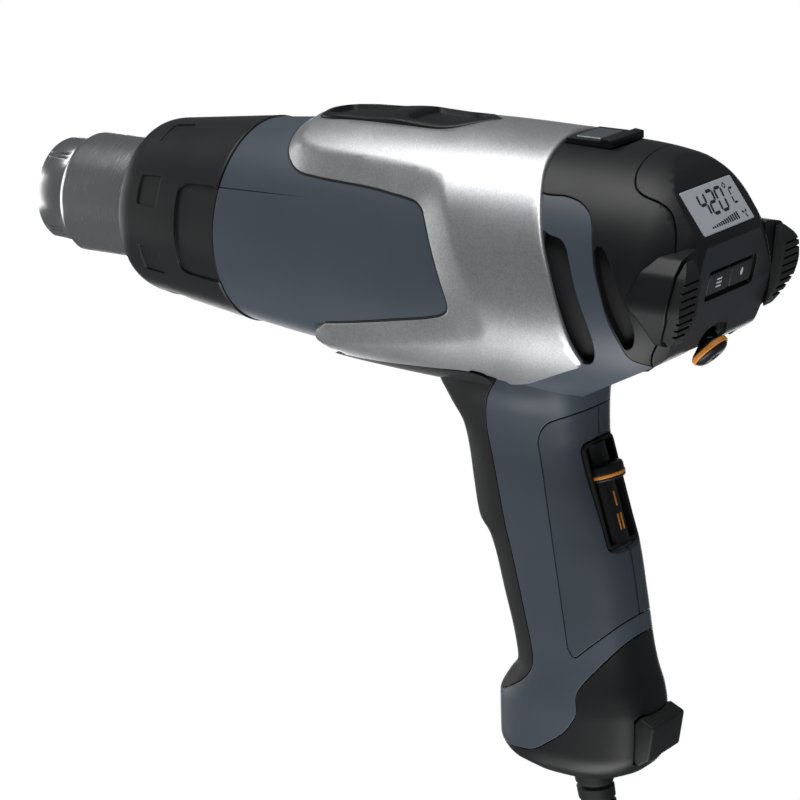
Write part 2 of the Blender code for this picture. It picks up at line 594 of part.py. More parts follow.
slider = knob("switch_slider", KNOB_START - 2.6, KNOB_THICK, SWITCH_KNOB_R, BLACK)
boolean(slider, knob("cut_ring", KNOB_START + 0.1, 1.6, 20, None, hole=5.0))
knob("switch_ring", KNOB_START + 0.4, 1.0, SWITCH_KNOB_R + 0.15, ORANGE, hole=5.3)
switch_block("switch_module", 4, 28, (12.3, 22), 6.5, BLACK)

# ---- Outlet tube and protective sleeve ----
turned("outlet_nozzle", [
    (OUTLET_X - 0.6, OUTLET_BORE_R), (OUTLET_X, OUTLET_BORE_R + 0.6), (OUTLET_X, OUTLET_R - 0.5),
    (OUTLET_X - 0.6, OUTLET_R), (TUBE_FRONT_X + 2.2, 18.2), (TUBE_FRONT_X + 1.8, 19.4), (TUBE_FRONT_X, TUBE_R),
    (TUBE_REAR_X + 2, TUBE_R), (TUBE_REAR_X + 2, 28), (TUBE_REAR_X, 28), (TUBE_REAR_X, 18.6),
    (TUBE_FRONT_X - 3, 18.6)], STEEL, sides=36)
SLEEVE_WALL = 2.3
turned("protective_sleeve", [
    (SLEEVE_REAR_X, SLEEVE_REAR_R - SLEEVE_WALL), (SLEEVE_REAR_X, SLEEVE_REAR_R),
    (SLEEVE_FRONT_X - 7, SLEEVE_FRONT_R + 0.75), (SLEEVE_FRONT_X - 2, SLEEVE_FRONT_R - 0.4),
    (SLEEVE_FRONT_X, SLEEVE_FRONT_R - 2.6), (SLEEVE_FRONT_X, 21.4), (SLEEVE_FRONT_X - 2.4, 21.4),
    (SLEEVE_FRONT_X - 2.4, SLEEVE_FRONT_R - 4), (SLEEVE_FRONT_X - 8, SLEEVE_FRONT_R + 0.9 - SLEEVE_WALL)][::-1],
    BLACK, sides=36)

# ---- Heater ----
turned("heat_shield", [(100, 25), (166, 22.2), (166, 21.2), (100, 24)][::-1], STEEL)
turned("insulating_tube", [(128, 18.2), (177.8, 18.2), (177.8, 19.6), (128, 19.6)][::-1], MICA)
turned("heater_core", [(132, 4), (228, 4), (228, 15), (132, 15)][::-1], CERAMIC, sides=32)
CORE_TURNS, CORE_R, WIRE_R = 7, 16.4, 0.8


def heating_coil():
    steps, sides = 16 * CORE_TURNS, 5
    rings = []
    for k in range(steps + 1):
        turn = 2 * pi * CORE_TURNS * k / steps
        x = 140 + 80 * k / steps
        rings.append([(x + WIRE_R * cos(2 * pi * i / sides),
                       (CORE_R + WIRE_R * sin(2 * pi * i / sides)) * sin(turn),
                       (CORE_R + WIRE_R * sin(2 * pi * i / sides)) * cos(turn)) for i in range(sides)])
    return loft("heating_coil", rings, WIRE)


heating_coil()
turned("thermocouple", [(200, 1.2), (236, 1.2)], STEEL, sides=8, hollow=False, z=0)

# ---- Motor and fan ----
turned("fan_motor", [(72, 14.5), (110, 14.5)], STEEL, sides=32, hollow=False)
turned("motor_mount", [(66, 15.2), (71.4, 15.2), (71.4, 34.5), (66, 34.8)][::-1], BLACK)
turned("motor_shaft", [(46, 1.5), (71.7, 1.5)], STEEL, sides=12, hollow=False)
IMPELLER_BLADES = 9
impeller = turned("fan_impeller", [(50, 1.8), (50, 5.5), (62, 5.5), (62, 30), (63.6, 30), (63.6, 1.8)][::-1],
                  BLACK, sides=36)
for k in range(IMPELLER_BLADES):
    blade = block(f"blade_{k}", (51, 4.8, -0.7), (62.4, 29, 0.7))
    blade.rotation_euler = (2 * pi * k / IMPELLER_BLADES, 0, 0)
    boolean(impeller, blade, "UNION")
turned("control_board", [(34, 5), (34, 24.8), (35.6, 24.8), (35.6, 5)], BOARD, sides=24)

# ---- Inside the base: terminal block and cord clamp ----
block("terminal_block", (47, -7, -138), (66, 7, -129), BLACK)
block("cord_clamp", (45.5, -8, -149.5), (62, 8, -144.5), BLACK)

# ---- Screws, driven from the gun's right side ----
SCREWS = [(160, 8, 33.2), (70, -44, 18.4), (64, -90, 16.3), (58, -122, 16.4)]  # x, z and the shell's half width
SCREW_HEAD_R, SCREW_HEAD, SCREW_R, SCREW_LENGTH = 2.8, 1.8, 1.4, 7.0


def side_turned(name, x, z, outline, finish=None):
    """A piece turned about a line across the gun, from (y, radius) points."""
    sides = 16
    rings = [[(x + r * cos(2 * pi * i / sides), y, z + r * sin(2 * pi * i / sides)) for i in range(sides)]
             for y, r in outline]
    return loft(name, rings, finish)


shell_right = bpy.data.objects["housing_right"]
for number, (x, z, y) in enumerate(SCREWS, 1):
    hole = side_turned(f"cut_screw_{number}", x, z, [
        (-y - 8, SCREW_HEAD_R + GAP), (-y + 3.0, SCREW_HEAD_R + GAP), (-y + 3.0, SCREW_R + GAP),
        (-y + 13, SCREW_R + GAP)])
    boss = side_turned(f"boss_{number}", x, z, [(-y + 1.4, 4.6), (-y + 6.5, 4.6)])
    boolean(shell_right, boss, "UNION")
    boolean(shell_right, hole)
    side_turned(f"housing_screw_{number}", x, z, [
        (-y + 3.0 - GAP - SCREW_HEAD, SCREW_HEAD_R), (-y + 3.0 - GAP, SCREW_HEAD_R), (-y + 3.0 - GAP, SCREW_R),
        (-y + 3.0 + SCREW_LENGTH, SCREW_R)], STEEL)

# ---- Cord: boot, lead, hank with its tie, tail and plug, where they lie on the table ----
TIE = 0.9  # strap thickness, under and over the hank
HANK_RUN, HANK_R, HANK_LAYERS = 90.0, 21.0, 3
HANK_STEP = CORD_D + 0.1
HANK_START = (212.0, -6.0)  # middle of the near end loop
HANK_LOW = TIE + GAP
HANK_HIGH = HANK_LOW + HANK_LAYERS * HANK_STEP + 0.1
HANK_OUTER = HANK_R + HANK_STEP + CORD_D / 2
PLUG_START, PLUG_LENGTH, PLUG_WIDTH, PLUG_THICK = 280.0, 34.0, 41.0, 27.0
PLUG_AXIS = HANK_HIGH + GAP + PLUG_THICK / 2


def ring_about(centre, direction, radius, sides=24):
    """A circle in row axes, square to a direction that lies in the x-z plane."""
    d = Vector(direction).normalized()
    side = Vector((0, 1, 0))
    up = side.cross(d)
    turns = [2 * pi * i / sides for i in range(sides)]
    return [tuple(Vector(centre) + side * (radius * sin(turn)) + up * (radius * cos(turn))) for turn in turns]


def boot():
    square_to_base = Vector(row(0, -1)) - Vector(row(0, 0))
    along = Vector((cos(BOOT_DROP), 0, -sin(BOOT_DROP)))
    rings = []
    for z, radius in ((-152.8, 6.2), (-155.1, 6.2), (-155.1, 4.2), (-158.9, 4.2), (-158.9, BOOT_R)):
        rings.append(ring_about(row(BOOT_EXIT[0], z), square_to_base, radius))
    start = Vector(row(BOOT_EXIT[0], -158.9))
    steps = 6
    for k in range(1, steps + 1):
        part = k / steps
        direction = square_to_base.lerp(along, min(1, part * 2))
        radius = BOOT_R + (BOOT_END_R - BOOT_R) * part
        rings.append(ring_about(start + along * BOOT_LENGTH * part, direction, radius))
    return loft("cord_boot", rings, RUBBER, parent=None), start + along * BOOT_LENGTH, along


def smooth_route(points, spacing):
    """A Catmull-Rom curve through the points, read about every spacing."""
    vectors = [Vector(p) for p in points]
    ends = [2 * vectors[0] - vectors[1], *vectors, 2 * vectors[-1] - vectors[-2]]
    read = []
    for a, b, c, d in zip(ends, ends[1:], ends[2:], ends[3:]):
        count = max(1, round((c - b).length / spacing))
        for k in range(count):
            t = k / count
            read.append(0.5 * (2 * b + (c - a) * t + (2 * a - 5 * b + 4 * c - d) * t * t
                               + (3 * b - a - 3 * c + d) * t ** 3))
    return [*read, vectors[-1]]


def cord_tube(name, points):
    curve = bpy.data.curves.new(name, "CURVE")
    curve.dimensions = "3D"
    curve.bevel_depth = CORD_D / 2 * MM
    curve.bevel_resolution = 3
    curve.use_fill_caps = True
    line = curve.splines.new("POLY")
    line.points.add(len(points) - 1)
    for place, point in zip(line.points, points):
        place.co = (*(Vector(point) * MM), 1)
    curve.materials.append(RUBBER)
    made = bpy.data.objects.new(name, curve)
    bpy.context.scene.collection.objects.link(made)
    return made


_, boot_end, boot_along = boot()
lead_start = boot_end + boot_along * GAP
LEAD_ROUTE = [tuple(lead_start), (146, 0, 7.0), (154, 0, 5.1), (163, 0.2, 4.2), (171.5, 2.2, 4.3),
              (179.3, 6.0, 4.7)]
cord_tube("power_cord", smooth_route(LEAD_ROUTE, 2.2 * CORD_D))
TAIL_ROUTE = [(236.5, 4.8, 26.9), (243, 1.3, 30.0), (250, -2.6, 33.3), (256, -5.0, 35.4),
              (PLUG_START - 18 - 3 * GAP, HANK_START[1], PLUG_AXIS)]
cord_tube("power_cord_tail", smooth_route(TAIL_ROUTE, 2.2 * CORD_D))


def stadium(start, run, radius, sides=20):
    """A racetrack outline seen from above."""
    x, y = start
    near = [(x - radius * sin(pi * i / sides), y + radius * cos(pi * i / sides)) for i in range(sides + 1)]
    far = [(x + run + radius * sin(pi * i / sides), y - radius * cos(pi * i / sides)) for i in range(sides + 1)]
    return near + far


outline = stadium(HANK_START, HANK_RUN, HANK_OUTER)
loft("cord_hank", [[(x, y, z) for x, y in outline] for z in (HANK_LOW, HANK_HIGH)], RUBBER, parent=None)


def box_ring(width, low, high, x):
    return [(x, HANK_START[1] + y, z) for y, z in ((width, low), (-width, low), (-width, high), (width, high))]


inner = (HANK_OUTER + GAP, TIE, HANK_HIGH + GAP)
outer = (HANK_OUTER + GAP + TIE, 0, HANK_HIGH + GAP + TIE)
loft("cord_tie", [box_ring(*inner, 244), box_ring(*outer, 244), box_ring(*outer, 254), box_ring(*inner, 254)],
     BLACK, ends=False, parent=None)


def plug_ring(x, width, thick, sides=24, square=2.8):
    power = 2 / square
    ring = []
    for i in range(sides):
        c, s = cos(2 * pi * i / sides), sin(2 * pi * i / sides)
        ring.append((x, HANK_START[1] + width / 2 * abs(c) ** power * (1 if c > 0 else -1),
                     PLUG_AXIS + thick / 2 * abs(s) ** power * (1 if s > 0 else -1)))
    return ring


plug_rings = [plug_ring(PLUG_START - 18, 9.4, 9.4), plug_ring(PLUG_START - 3, 12.5, 12.5),
              plug_ring(PLUG_START, 24, 20), plug_ring(PLUG_START + 7, 38, PLUG_THICK),
              plug_ring(PLUG_START + 12, PLUG_WIDTH, PLUG_THICK),
              plug_ring(PLUG_START + PLUG_LENGTH, PLUG_WIDTH, PLUG_THICK)]
loft("mains_plug", plug_rings, BLACK, parent=None)
PIN_LENGTH, PIN_R, PIN_PITCH = 19.0, 2.4, 19.0
for name, place in (("left", 0.5), ("right", -0.5)):
    centre = HANK_START[1] + place * PIN_PITCH
    start = PLUG_START + PLUG_LENGTH + GAP
    turned(f"plug_pin_{name}", [(start, PIN_R), (start + PIN_LENGTH - 1, PIN_R), (start + PIN_LENGTH, PIN_R - 1)],
           STEEL, sides=16, hollow=False, parent=None, y=centre, z=PLUG_AXIS)
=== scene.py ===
"""The looks of the hot-air gun: fine surfaces, finishes, the coiled lead, soft light and the camera.

Lengths are in millimetres in this script and become metres when a mesh is made. Most pieces are drawn in the gun's
own axes: x forward along the barrel from the rear, y to the left, z up away from the handle. place() stands them in
the frame, where the gun rests on its rear pads and the handle's foot.
"""

from math import acos, cos, hypot, pi, radians, sin, tan

import bpy
import numpy as np
from mathutils import Matrix, Vector
from mathutils.geometry import delaunay_2d_cdt


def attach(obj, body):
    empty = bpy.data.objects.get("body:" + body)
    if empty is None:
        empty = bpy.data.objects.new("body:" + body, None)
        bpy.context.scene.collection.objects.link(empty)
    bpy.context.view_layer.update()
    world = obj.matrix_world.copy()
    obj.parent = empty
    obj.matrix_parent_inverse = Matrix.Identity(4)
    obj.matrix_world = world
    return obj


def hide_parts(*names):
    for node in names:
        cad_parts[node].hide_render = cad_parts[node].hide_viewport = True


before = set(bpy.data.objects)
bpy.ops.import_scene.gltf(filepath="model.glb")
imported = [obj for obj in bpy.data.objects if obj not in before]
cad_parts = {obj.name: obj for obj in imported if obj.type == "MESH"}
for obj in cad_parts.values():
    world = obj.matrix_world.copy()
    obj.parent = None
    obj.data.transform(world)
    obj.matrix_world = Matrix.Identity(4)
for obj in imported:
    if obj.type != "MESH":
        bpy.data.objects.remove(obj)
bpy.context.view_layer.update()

MM = 0.001
SEAM = 0.35  # dark line between two shells
AROUND = 128  # sides of the barrel
FAR = 60  # well outside the body on each side

# Stance
LEAN = radians(9.0)
PAD_X, PAD_Z = 3.0, 3.0
ROW_CENTRE = 66.92


def row(x, z, y=0.0):
    """A point of the gun's axes as it stands on the table, in millimetres."""
    c, s = cos(LEAN), sin(LEAN)
    return (-z * c + x * s - ROW_CENTRE, y, (x - PAD_X) * c + (z - PAD_Z) * s)


def linked(name, data):
    """A new object in the scene."""
    made = bpy.data.objects.new(name, data)
    bpy.context.scene.collection.objects.link(made)
    return made


STAND = Matrix.Translation(Vector(row(0, 0)) * MM) @ Matrix.Rotation(-(pi / 2 - LEAN), 4, "Y")


# ---- Camera: to the gun's left and rear, a little above its barrel ----
CAMERA_PLACE = (-428.4, 786.5, 230.2)
CAMERA_YAW, CAMERA_DROP, CAMERA_ROLL = radians(35.06), radians(16.4), radians(-0.9)
CAMERA_LENS, SENSOR = 144.0, 36.0


def camera_axes():
    """(right, up, forward) of the camera in the frame."""
    forward = Vector((sin(CAMERA_YAW) * cos(CAMERA_DROP), -cos(CAMERA_YAW) * cos(CAMERA_DROP), -sin(CAMERA_DROP)))
    level = forward.cross(Vector((0, 0, 1))).normalized()
    up = level.cross(forward)
    right = level * cos(CAMERA_ROLL) + up * sin(CAMERA_ROLL)
    turn = STAND.to_3x3()
    return turn @ right, turn @ right.cross(forward), turn @ forward


RIGHT, UP, FORWARD = camera_axes()
camera = linked("camera", bpy.data.cameras.new("camera"))
camera.matrix_world = Matrix.Translation(Vector(row(CAMERA_PLACE[0], CAMERA_PLACE[2], CAMERA_PLACE[1])) * MM) \
    @ Matrix((RIGHT, UP, -FORWARD)).transposed().to_4x4()
camera.data.lens = CAMERA_LENS
camera.data.sensor_width = SENSOR
camera.data.clip_start, camera.data.clip_end = 0.05, 50
bpy.context.scene.camera = camera


# ---- Finishes ----
def new_material(name):
    made = bpy.data.materials.new(name)
    made.use_nodes = True
    nodes, links = made.node_tree.nodes, made.node_tree.links
    return made, nodes, links, nodes["Principled BSDF"]


def set_inputs(node, values):
    for key, value in values.items():
        node.inputs[key].default_value = value
    return node


def coordinates(nodes, links, turn=(0, 0, 0), scale=(1, 1, 1)):
    """Coordinates fixed to the piece, turned and then stretched."""
    vector = nodes.new("ShaderNodeTexCoord").outputs["Object"]
    for name, value in (("Rotation", turn), ("Scale", scale)):
        mapping = nodes.new("ShaderNodeMapping")
        mapping.inputs[name].default_value = value
        links.new(vector, mapping.inputs["Vector"])
        vector = mapping.outputs["Vector"]
    return vector


def noise(nodes, links, vector, scale, detail=2.0, roughness=0.5):
    made = nodes.new("ShaderNodeTexNoise")
    set_inputs(made, {"Scale": scale, "Detail": detail, "Roughness": roughness})
    links.new(vector, made.inputs["Vector"])
    return made.outputs["Fac"]


def ranged(nodes, links, value, low, high, start=0.3, end=0.7):
    made = nodes.new("ShaderNodeMapRange")
    set_inputs(made, {"From Min": start, "From Max": end, "To Min": low, "To Max": high})
    links.new(value, made.inputs["Value"])
    return made.outputs["Result"]


def shaded(nodes, links, factor, dark, light):
    """A colour between two, by a factor."""
    made = nodes.new("ShaderNodeMix")
    made.data_type = "RGBA"
    made.inputs["A"].default_value = (*dark, 1)
    made.inputs["B"].default_value = (*light, 1)
    links.new(factor, made.inputs["Factor"])
    return made.outputs["Result"]


def bump(nodes, links, height, distance, strength, edge=0.0):
    """A normal from a height, over edges that are softened by a small radius."""
    made = nodes.new("ShaderNodeBump")
    set_inputs(made, {"Distance": distance, "Strength": strength})
    links.new(height, made.inputs["Height"])
    if edge:
        soft = nodes.new("ShaderNodeBevel")
        soft.samples = 4
        soft.inputs["Radius"].default_value = edge
        links.new(soft.outputs["Normal"], made.inputs["Normal"])
    return made.outputs["Normal"]


def plastic(name, colour, roughness, grain=0.35, coarse=1600, edge=0.0004, specular=0.5, coat=0.0):
    """Moulded plastic: a fine spark-eroded grain, and a slow change of shade and gloss."""
    made, nodes, links, shader = new_material(name)
    where = coordinates(nodes, links)
    slow = noise(nodes, links, where, 28, 3)
    fine = noise(nodes, links, where, coarse, 2, 0.6)
    dark, light = [c * 0.93 for c in colour], [c * 1.07 for c in colour]
    links.new(shaded(nodes, links, slow, dark, light), shader.inputs["Base Color"])
    links.new(ranged(nodes, links, slow, roughness - 0.03, roughness + 0.04), shader.inputs["Roughness"])
    links.new(bump(nodes, links, fine, 0.00006, grain, edge), shader.inputs["Normal"])
    set_inputs(shader, {"Specular IOR Level": specular, "Coat Weight": coat, "Coat Roughness": 0.25})
    return made


def paint(name, colour, roughness):
    """Satin metallic paint: small flakes of different brightness in a clear binder."""
    made, nodes, links, shader = new_material(name)
    where = coordinates(nodes, links)
    flakes = nodes.new("ShaderNodeTexVoronoi")
    flakes.inputs["Scale"].default_value = 3200
    links.new(where, flakes.inputs["Vector"])
    bright = nodes.new("ShaderNodeSeparateColor")
    links.new(flakes.outputs["Color"], bright.inputs["Color"])
    dark, light = [c * 0.86 for c in colour], [min(1, c * 1.12) for c in colour]
    links.new(shaded(nodes, links, bright.outputs["Red"], dark, light), shader.inputs["Base Color"])
    links.new(ranged(nodes, links, noise(nodes, links, where, 60, 3), roughness - 0.03, roughness + 0.03),
              shader.inputs["Roughness"])
    links.new(bump(nodes, links, bright.outputs["Green"], 0.00002, 0.25, 0.0004), shader.inputs["Normal"])
    set_inputs(shader, {"Metallic": 0.88, "Coat Weight": 0.15, "Coat Roughness": 0.3})
    return made


def turned_steel(name, colour, roughness, lines=5200, depth=0.25):
    """Steel with the fine rings that turning leaves, square to the barrel."""
    made, nodes, links, shader = new_material(name)
    rings = coordinates(nodes, links, (0, pi / 2 - LEAN, 0), (1, 0.02, 0.02))
    fine = noise(nodes, links, rings, lines, 3, 0.7)
    slow = noise(nodes, links, coordinates(nodes, links), 45, 3)
    dark, light = [c * 0.9 for c in colour], [min(1, c * 1.06) for c in colour]
    links.new(shaded(nodes, links, slow, dark, light), shader.inputs["Base Color"])
    links.new(ranged(nodes, links, fine, roughness - 0.05, roughness + 0.06), shader.inputs["Roughness"])
    links.new(bump(nodes, links, fine, 0.00003, depth, 0.0003), shader.inputs["Normal"])
    shader.inputs["Metallic"].default_value = 1.0
    return made


def grained(name, dark, light, roughness, scale, metallic=0.0, depth=0.3):
    """A rough or fibrous finish for the pieces inside."""
    made, nodes, links, shader = new_material(name)
    value = noise(nodes, links, coordinates(nodes, links), scale, 4, 0.6)
    links.new(shaded(nodes, links, value, dark, light), shader.inputs["Base Color"])
    links.new(ranged(nodes, links, value, roughness - 0.05, roughness + 0.05), shader.inputs["Roughness"])
    links.new(bump(nodes, links, value, 0.0001, depth), shader.inputs["Normal"])
    shader.inputs["Metallic"].default_value = metallic
    return made


SHELL = plastic("blue_grey_plastic", (0.056, 0.072, 0.092), 0.42, grain=0.3)
PANEL = plastic("blue_grey_panel", (0.045, 0.058, 0.074), 0.44, grain=0.4, coarse=1300)
BLACK = plastic("black_plastic", (0.006, 0.0065, 0.0074), 0.42, grain=0.35, specular=0.38)
SLEEVE_BLACK = plastic("sleeve_plastic", (0.009, 0.0097, 0.0105), 0.40, grain=0.3, specular=0.45)
CHARCOAL = plastic("charcoal_plastic", (0.022, 0.026, 0.030), 0.48, grain=0.4)
# Near-black, darker than the black plastic, for the switch track in its slot and the strip at the saddle's front seam:
# painted shade
RECESS_SHADE_BLACK = plastic("painted_recess_shade", (0.004, 0.004, 0.0045), 0.6, grain=0.3)
RUBBER = plastic("black_rubber", (0.012, 0.0125, 0.013), 0.55, grain=0.6, coarse=1100, specular=0.35)
CORD_SKIN = plastic("cord_rubber", (0.022, 0.0225, 0.023), 0.5, grain=0.5, coarse=900, specular=0.4)
ORANGE = plastic("orange_plastic", (0.80, 0.29, 0.035), 0.42, grain=0.2)
ICON = plastic("printed_mark", (0.62, 0.63, 0.64), 0.5, grain=0.1)
DIGIT = plastic("display_digit", (0.012, 0.013, 0.014), 0.35, grain=0.05)
LCD = plastic("display_cell", (0.40, 0.43, 0.46), 0.22, grain=0.03, coat=0.6)
SILVER = paint("silver_paint", (0.60, 0.61, 0.62), 0.36)
LATCH_GREY = paint("latch_paint", (0.20, 0.215, 0.225), 0.40)
STEEL = turned_steel("turned_steel", (0.66, 0.66, 0.655), 0.22)
PLAIN_STEEL = grained("plain_steel", (0.42, 0.42, 0.41), (0.56, 0.55, 0.54), 0.35, 900, 1.0, 0.15)
PIN_METAL = grained("nickel_pin", (0.60, 0.58, 0.54), (0.70, 0.68, 0.64), 0.2, 600, 1.0, 0.08)
CERAMIC = grained("ceramic", (0.62, 0.56, 0.47), (0.76, 0.71, 0.62), 0.8, 700)
MICA = grained("mica", (0.34, 0.26, 0.15), (0.5, 0.41, 0.27), 0.45, 260)
WIRE = grained("heating_wire", (0.25, 0.24, 0.24), (0.34, 0.32, 0.31), 0.35, 1500, 1.0)
BOARD = grained("circuit_board", (0.012, 0.11, 0.035), (0.02, 0.16, 0.05), 0.4, 300)
MESH = grained("filter_mesh", (0.006, 0.006, 0.007), (0.02, 0.02, 0.022), 0.8, 1400)


# ---- Making meshes ----
def solid(name, points, faces, finish=None, in_gun=True):
    """A mesh from points in millimetres, in the gun's axes or, with in_gun False, in the frame's."""
    mesh = bpy.data.meshes.new(name)
    co = np.asarray(points, float) * MM
    if in_gun:
        m = np.array(STAND)
        co = co @ m[:3, :3].T + m[:3, 3]
    mesh.from_pydata(co.tolist(), [], faces)
    made = linked(name, mesh)
    if finish:
        mesh.materials.append(finish)
    else:
        made.hide_render = True
    return made


def outward(points, faces):
    """The faces turned, if need be, so that the closed mesh faces out."""
    p = np.asarray(points, float)
    p = p - p.mean(0)
    volume = 0.0
    for face in faces:
        a = p[face[0]]
        for i in range(1, len(face) - 1):
            b, c = p[face[i]], p[face[i + 1]]
            volume += (a[0] * (b[1] * c[2] - b[2] * c[1]) + a[1] * (b[2] * c[0] - b[0] * c[2])
                       + a[2] * (b[0] * c[1] - b[1] * c[0]))
    return faces if volume > 0 else [list(face)[::-1] for face in faces]


def loft(name, rings, finish=None, ends=True, in_gun=True):
    """Rings with one count of points joined in turn. With ends the two outer rings are filled in."""
    count = len(rings[0])
    points = [p for ring in rings for p in ring]
    faces = []
    for k in range(len(rings) - 1 if ends else len(rings)):
        a, b = k * count, (k + 1) % len(rings) * count
        faces += [[a + i, a + (i + 1) % count, b + (i + 1) % count, b + i] for i in range(count)]
    if ends:
        faces.append(list(range(count))[::-1])
        faces.append([(len(rings) - 1) * count + i for i in range(count)])
    return solid(name, points, outward(points, faces), finish, in_gun)


def circle(x, radius, sides, y=0.0, z=0.0):
    turn = 2 * pi / sides
    return [(x, y + radius * sin(turn * i), z + radius * cos(turn * i)) for i in range(sides)]


def turned(name, outline, finish=None, sides=AROUND, hollow=True, in_gun=True, y=0.0, z=0.0):
    """A piece turned about a line along x. A hollow piece's (x, radius) outline closes on itself."""
    return loft(name, [circle(x, r, sides, y, z) for x, r in outline], finish, not hollow, in_gun)


def prism(name, outline, low, high, finish=None):
    """A side outline (x, z) drawn out along y."""
    return loft(name, [[(x, y, z) for x, z in outline] for y in (low, high)], finish)


def through(name, outline):
    """A side outline (x, z) drawn right across the gun, as a cutter."""
    return prism(name, outline, -FAR, FAR)


def block(name, low, high, finish=None):
    return prism(name, [(low[0], low[2]), (high[0], low[2]), (high[0], high[2]), (low[0], high[2])],
                 low[1], high[1], finish)


def slab(low, high):
    """All of the gun between two widths, as a cutter."""
    return block("half", (-20, low, -180), (270, high, 60))


def remove(target):
    mesh = target.data
    bpy.data.objects.remove(target)
    if mesh.users == 0:
        bpy.data.meshes.remove(mesh)


def settle(target):
    """Applies the piece's modifiers."""
    bpy.context.view_layer.update()
    graph = bpy.context.evaluated_depsgraph_get()
    mesh = bpy.data.meshes.new_from_object(target.evaluated_get(graph))
    old = target.data
    target.modifiers.clear()
    target.data = mesh
    if old.users == 0:
        bpy.data.meshes.remove(old)
    return target


def boolean(target, other, kind="DIFFERENCE"):
    """Cuts another mesh away, joins it or keeps what lies inside it, and then removes that mesh."""
    step = target.modifiers.new(kind.lower(), "BOOLEAN")
    step.operation = kind
    step.object = other
    step.solver = "EXACT"
    settle(target)
    remove(other)
    return target


def smooth(target, angle=32.0):
    target.data.shade_smooth()
    target.data.set_sharp_from_angle(angle=radians(angle))
    return target


def soften(target, width, segments=3, angle=35.0):
    """Rounded edges on a piece with few faces."""
    step = target.modifiers.new("soft_edges", "BEVEL")
    step.width = width * MM
    step.segments = segments
    step.limit_method = "ANGLE"
    step.angle_limit = radians(angle)
    step.use_clamp_overlap = True
    return settle(target)


def copy_of(source, name, finish=None):
    made = linked(name, source.data.copy())
    made.hide_render = finish is None
    if finish:
        made.data.materials.clear()
        made.data.materials.append(finish)
    return made


def piece(made, body, slot, *nodes, angle=32.0):
    """Ends a piece: smooth shading, the body it rides on and the nodes that it stands for; slot is not used."""
    smooth(made, angle)
    made.hide_render = False
    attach(made, body)
    if nodes:
        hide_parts(*nodes)
    return made


# ---- Smooth lines ----
def steady_slopes(xs, ys):
    """Slopes of a curve through the points that never overshoots them."""
    h, d = np.diff(xs), np.diff(ys) / np.diff(xs)
    slopes = np.zeros(len(xs))
    slopes[0], slopes[-1] = d[0], d[-1]
    for i in range(1, len(xs) - 1):
        if d[i - 1] * d[i] > 0:
            w1, w2 = 2 * h[i] + h[i - 1], h[i] + 2 * h[i - 1]
            slopes[i] = (w1 + w2) / (w1 / d[i - 1] + w2 / d[i])
    return slopes


class Line:
    """A smooth function through a table's rows, (x, value, value...), with x in either order."""

    def __init__(self, rows):
        rows = sorted(rows)
        self.x = np.array([r[0] for r in rows], float)
        self.columns = [np.array([r[k] for r in rows], float) for k in range(1, len(rows[0]))]
        self.slopes = [steady_slopes(self.x, c) for c in self.columns]

    def __call__(self, at, column=0):
        y, m = self.columns[column], self.slopes[column]
        at = np.clip(at, self.x[0], self.x[-1])
        i = np.clip(np.searchsorted(self.x, at) - 1, 0, len(self.x) - 2)
        h = self.x[i + 1] - self.x[i]
        t = (at - self.x[i]) / h
        return ((2 * t ** 3 - 3 * t ** 2 + 1) * y[i] + (t ** 3 - 2 * t ** 2 + t) * h * m[i]
                + (3 * t ** 2 - 2 * t ** 3) * y[i + 1] + (t ** 3 - t ** 2) * h * m[i + 1])


def rounded(points, spacing=1.5, closed=True):
    """A centripetal Catmull-Rom curve through the points, read about every spacing."""
    p = [Vector(q) for q in points]
    p = [p[-1], *p, p[0], p[1]] if closed else [2 * p[0] - p[1], *p, 2 * p[-1] - p[-2]]
    read = []
    for a, b, c, d in zip(p, p[1:], p[2:], p[3:]):
        t1 = max((b - a).length, 1e-6) ** 0.5
        t2 = t1 + max((c - b).length, 1e-6) ** 0.5
        t3 = t2 + max((d - c).length, 1e-6) ** 0.5
        count = max(1, round((c - b).length / spacing))
        for k in range(count):
            t = t1 + (t2 - t1) * k / count
            e, f, g = a.lerp(b, t / t1), b.lerp(c, (t - t1) / (t2 - t1)), c.lerp(d, (t - t2) / (t3 - t2))
            read.append(tuple(e.lerp(f, t / t2).lerp(f.lerp(g, (t - t1) / (t3 - t1)), (t - t1) / (t2 - t1))))
    return read if closed else [*read, tuple(p[-2])]


def grown(outline, by=SEAM):
    """A closed outline moved outwards, or inwards if by is negative."""
    count = len(outline)
    area = sum(outline[i - 1][0] * outline[i][1] - outline[i][0] * outline[i - 1][1] for i in range(count))
    side = 1 if area > 0 else -1
    moved = []
    for i in range(count):
        (ax, az), (bx, bz), (cx, cz) = outline[i - 1], outline[i], outline[(i + 1) % count]
        before, after = max(hypot(bx - ax, bz - az), 1e-9), max(hypot(cx - bx, cz - bz), 1e-9)
        n1 = ((bz - az) / before, (ax - bx) / before)
        n2 = ((cz - bz) / after, (bx - cx) / after)
        nx, nz = n1[0] + n2[0], n1[1] + n2[1]
        scale = side * by * 2 / max(nx * nx + nz * nz, 0.6)
        moved.append((bx + nx * scale, bz + nz * scale))
    return moved


def corner_rounded(outline, radius, steps=5):
    """A closed outline with each corner replaced by a curve that starts a radius before it."""
    made = []
    for i, b in enumerate(outline):
        a, b, c = Vector(outline[i - 1]), Vector(b), Vector(outline[(i + 1) % len(outline)])
        reach = min(radius, (a - b).length * 0.45, (c - b).length * 0.45)
        start, end = b + (a - b).normalized() * reach, b + (c - b).normalized() * reach
        for k in range(steps + 1):
            t = k / steps
            made.append(tuple(start.lerp(b, t).lerp(b.lerp(end, t), t)))
    return made


def dense(line, step=1.2):
    """A closed line with points added along its long sides."""
    made = []
    for a, b in zip(line, line[1:] + line[:1]):
        count = max(1, round(hypot(b[0] - a[0], b[1] - a[1]) / step))
        made += [(a[0] + (b[0] - a[0]) * k / count, a[1] + (b[1] - a[1]) * k / count) for k in range(count)]
    return made


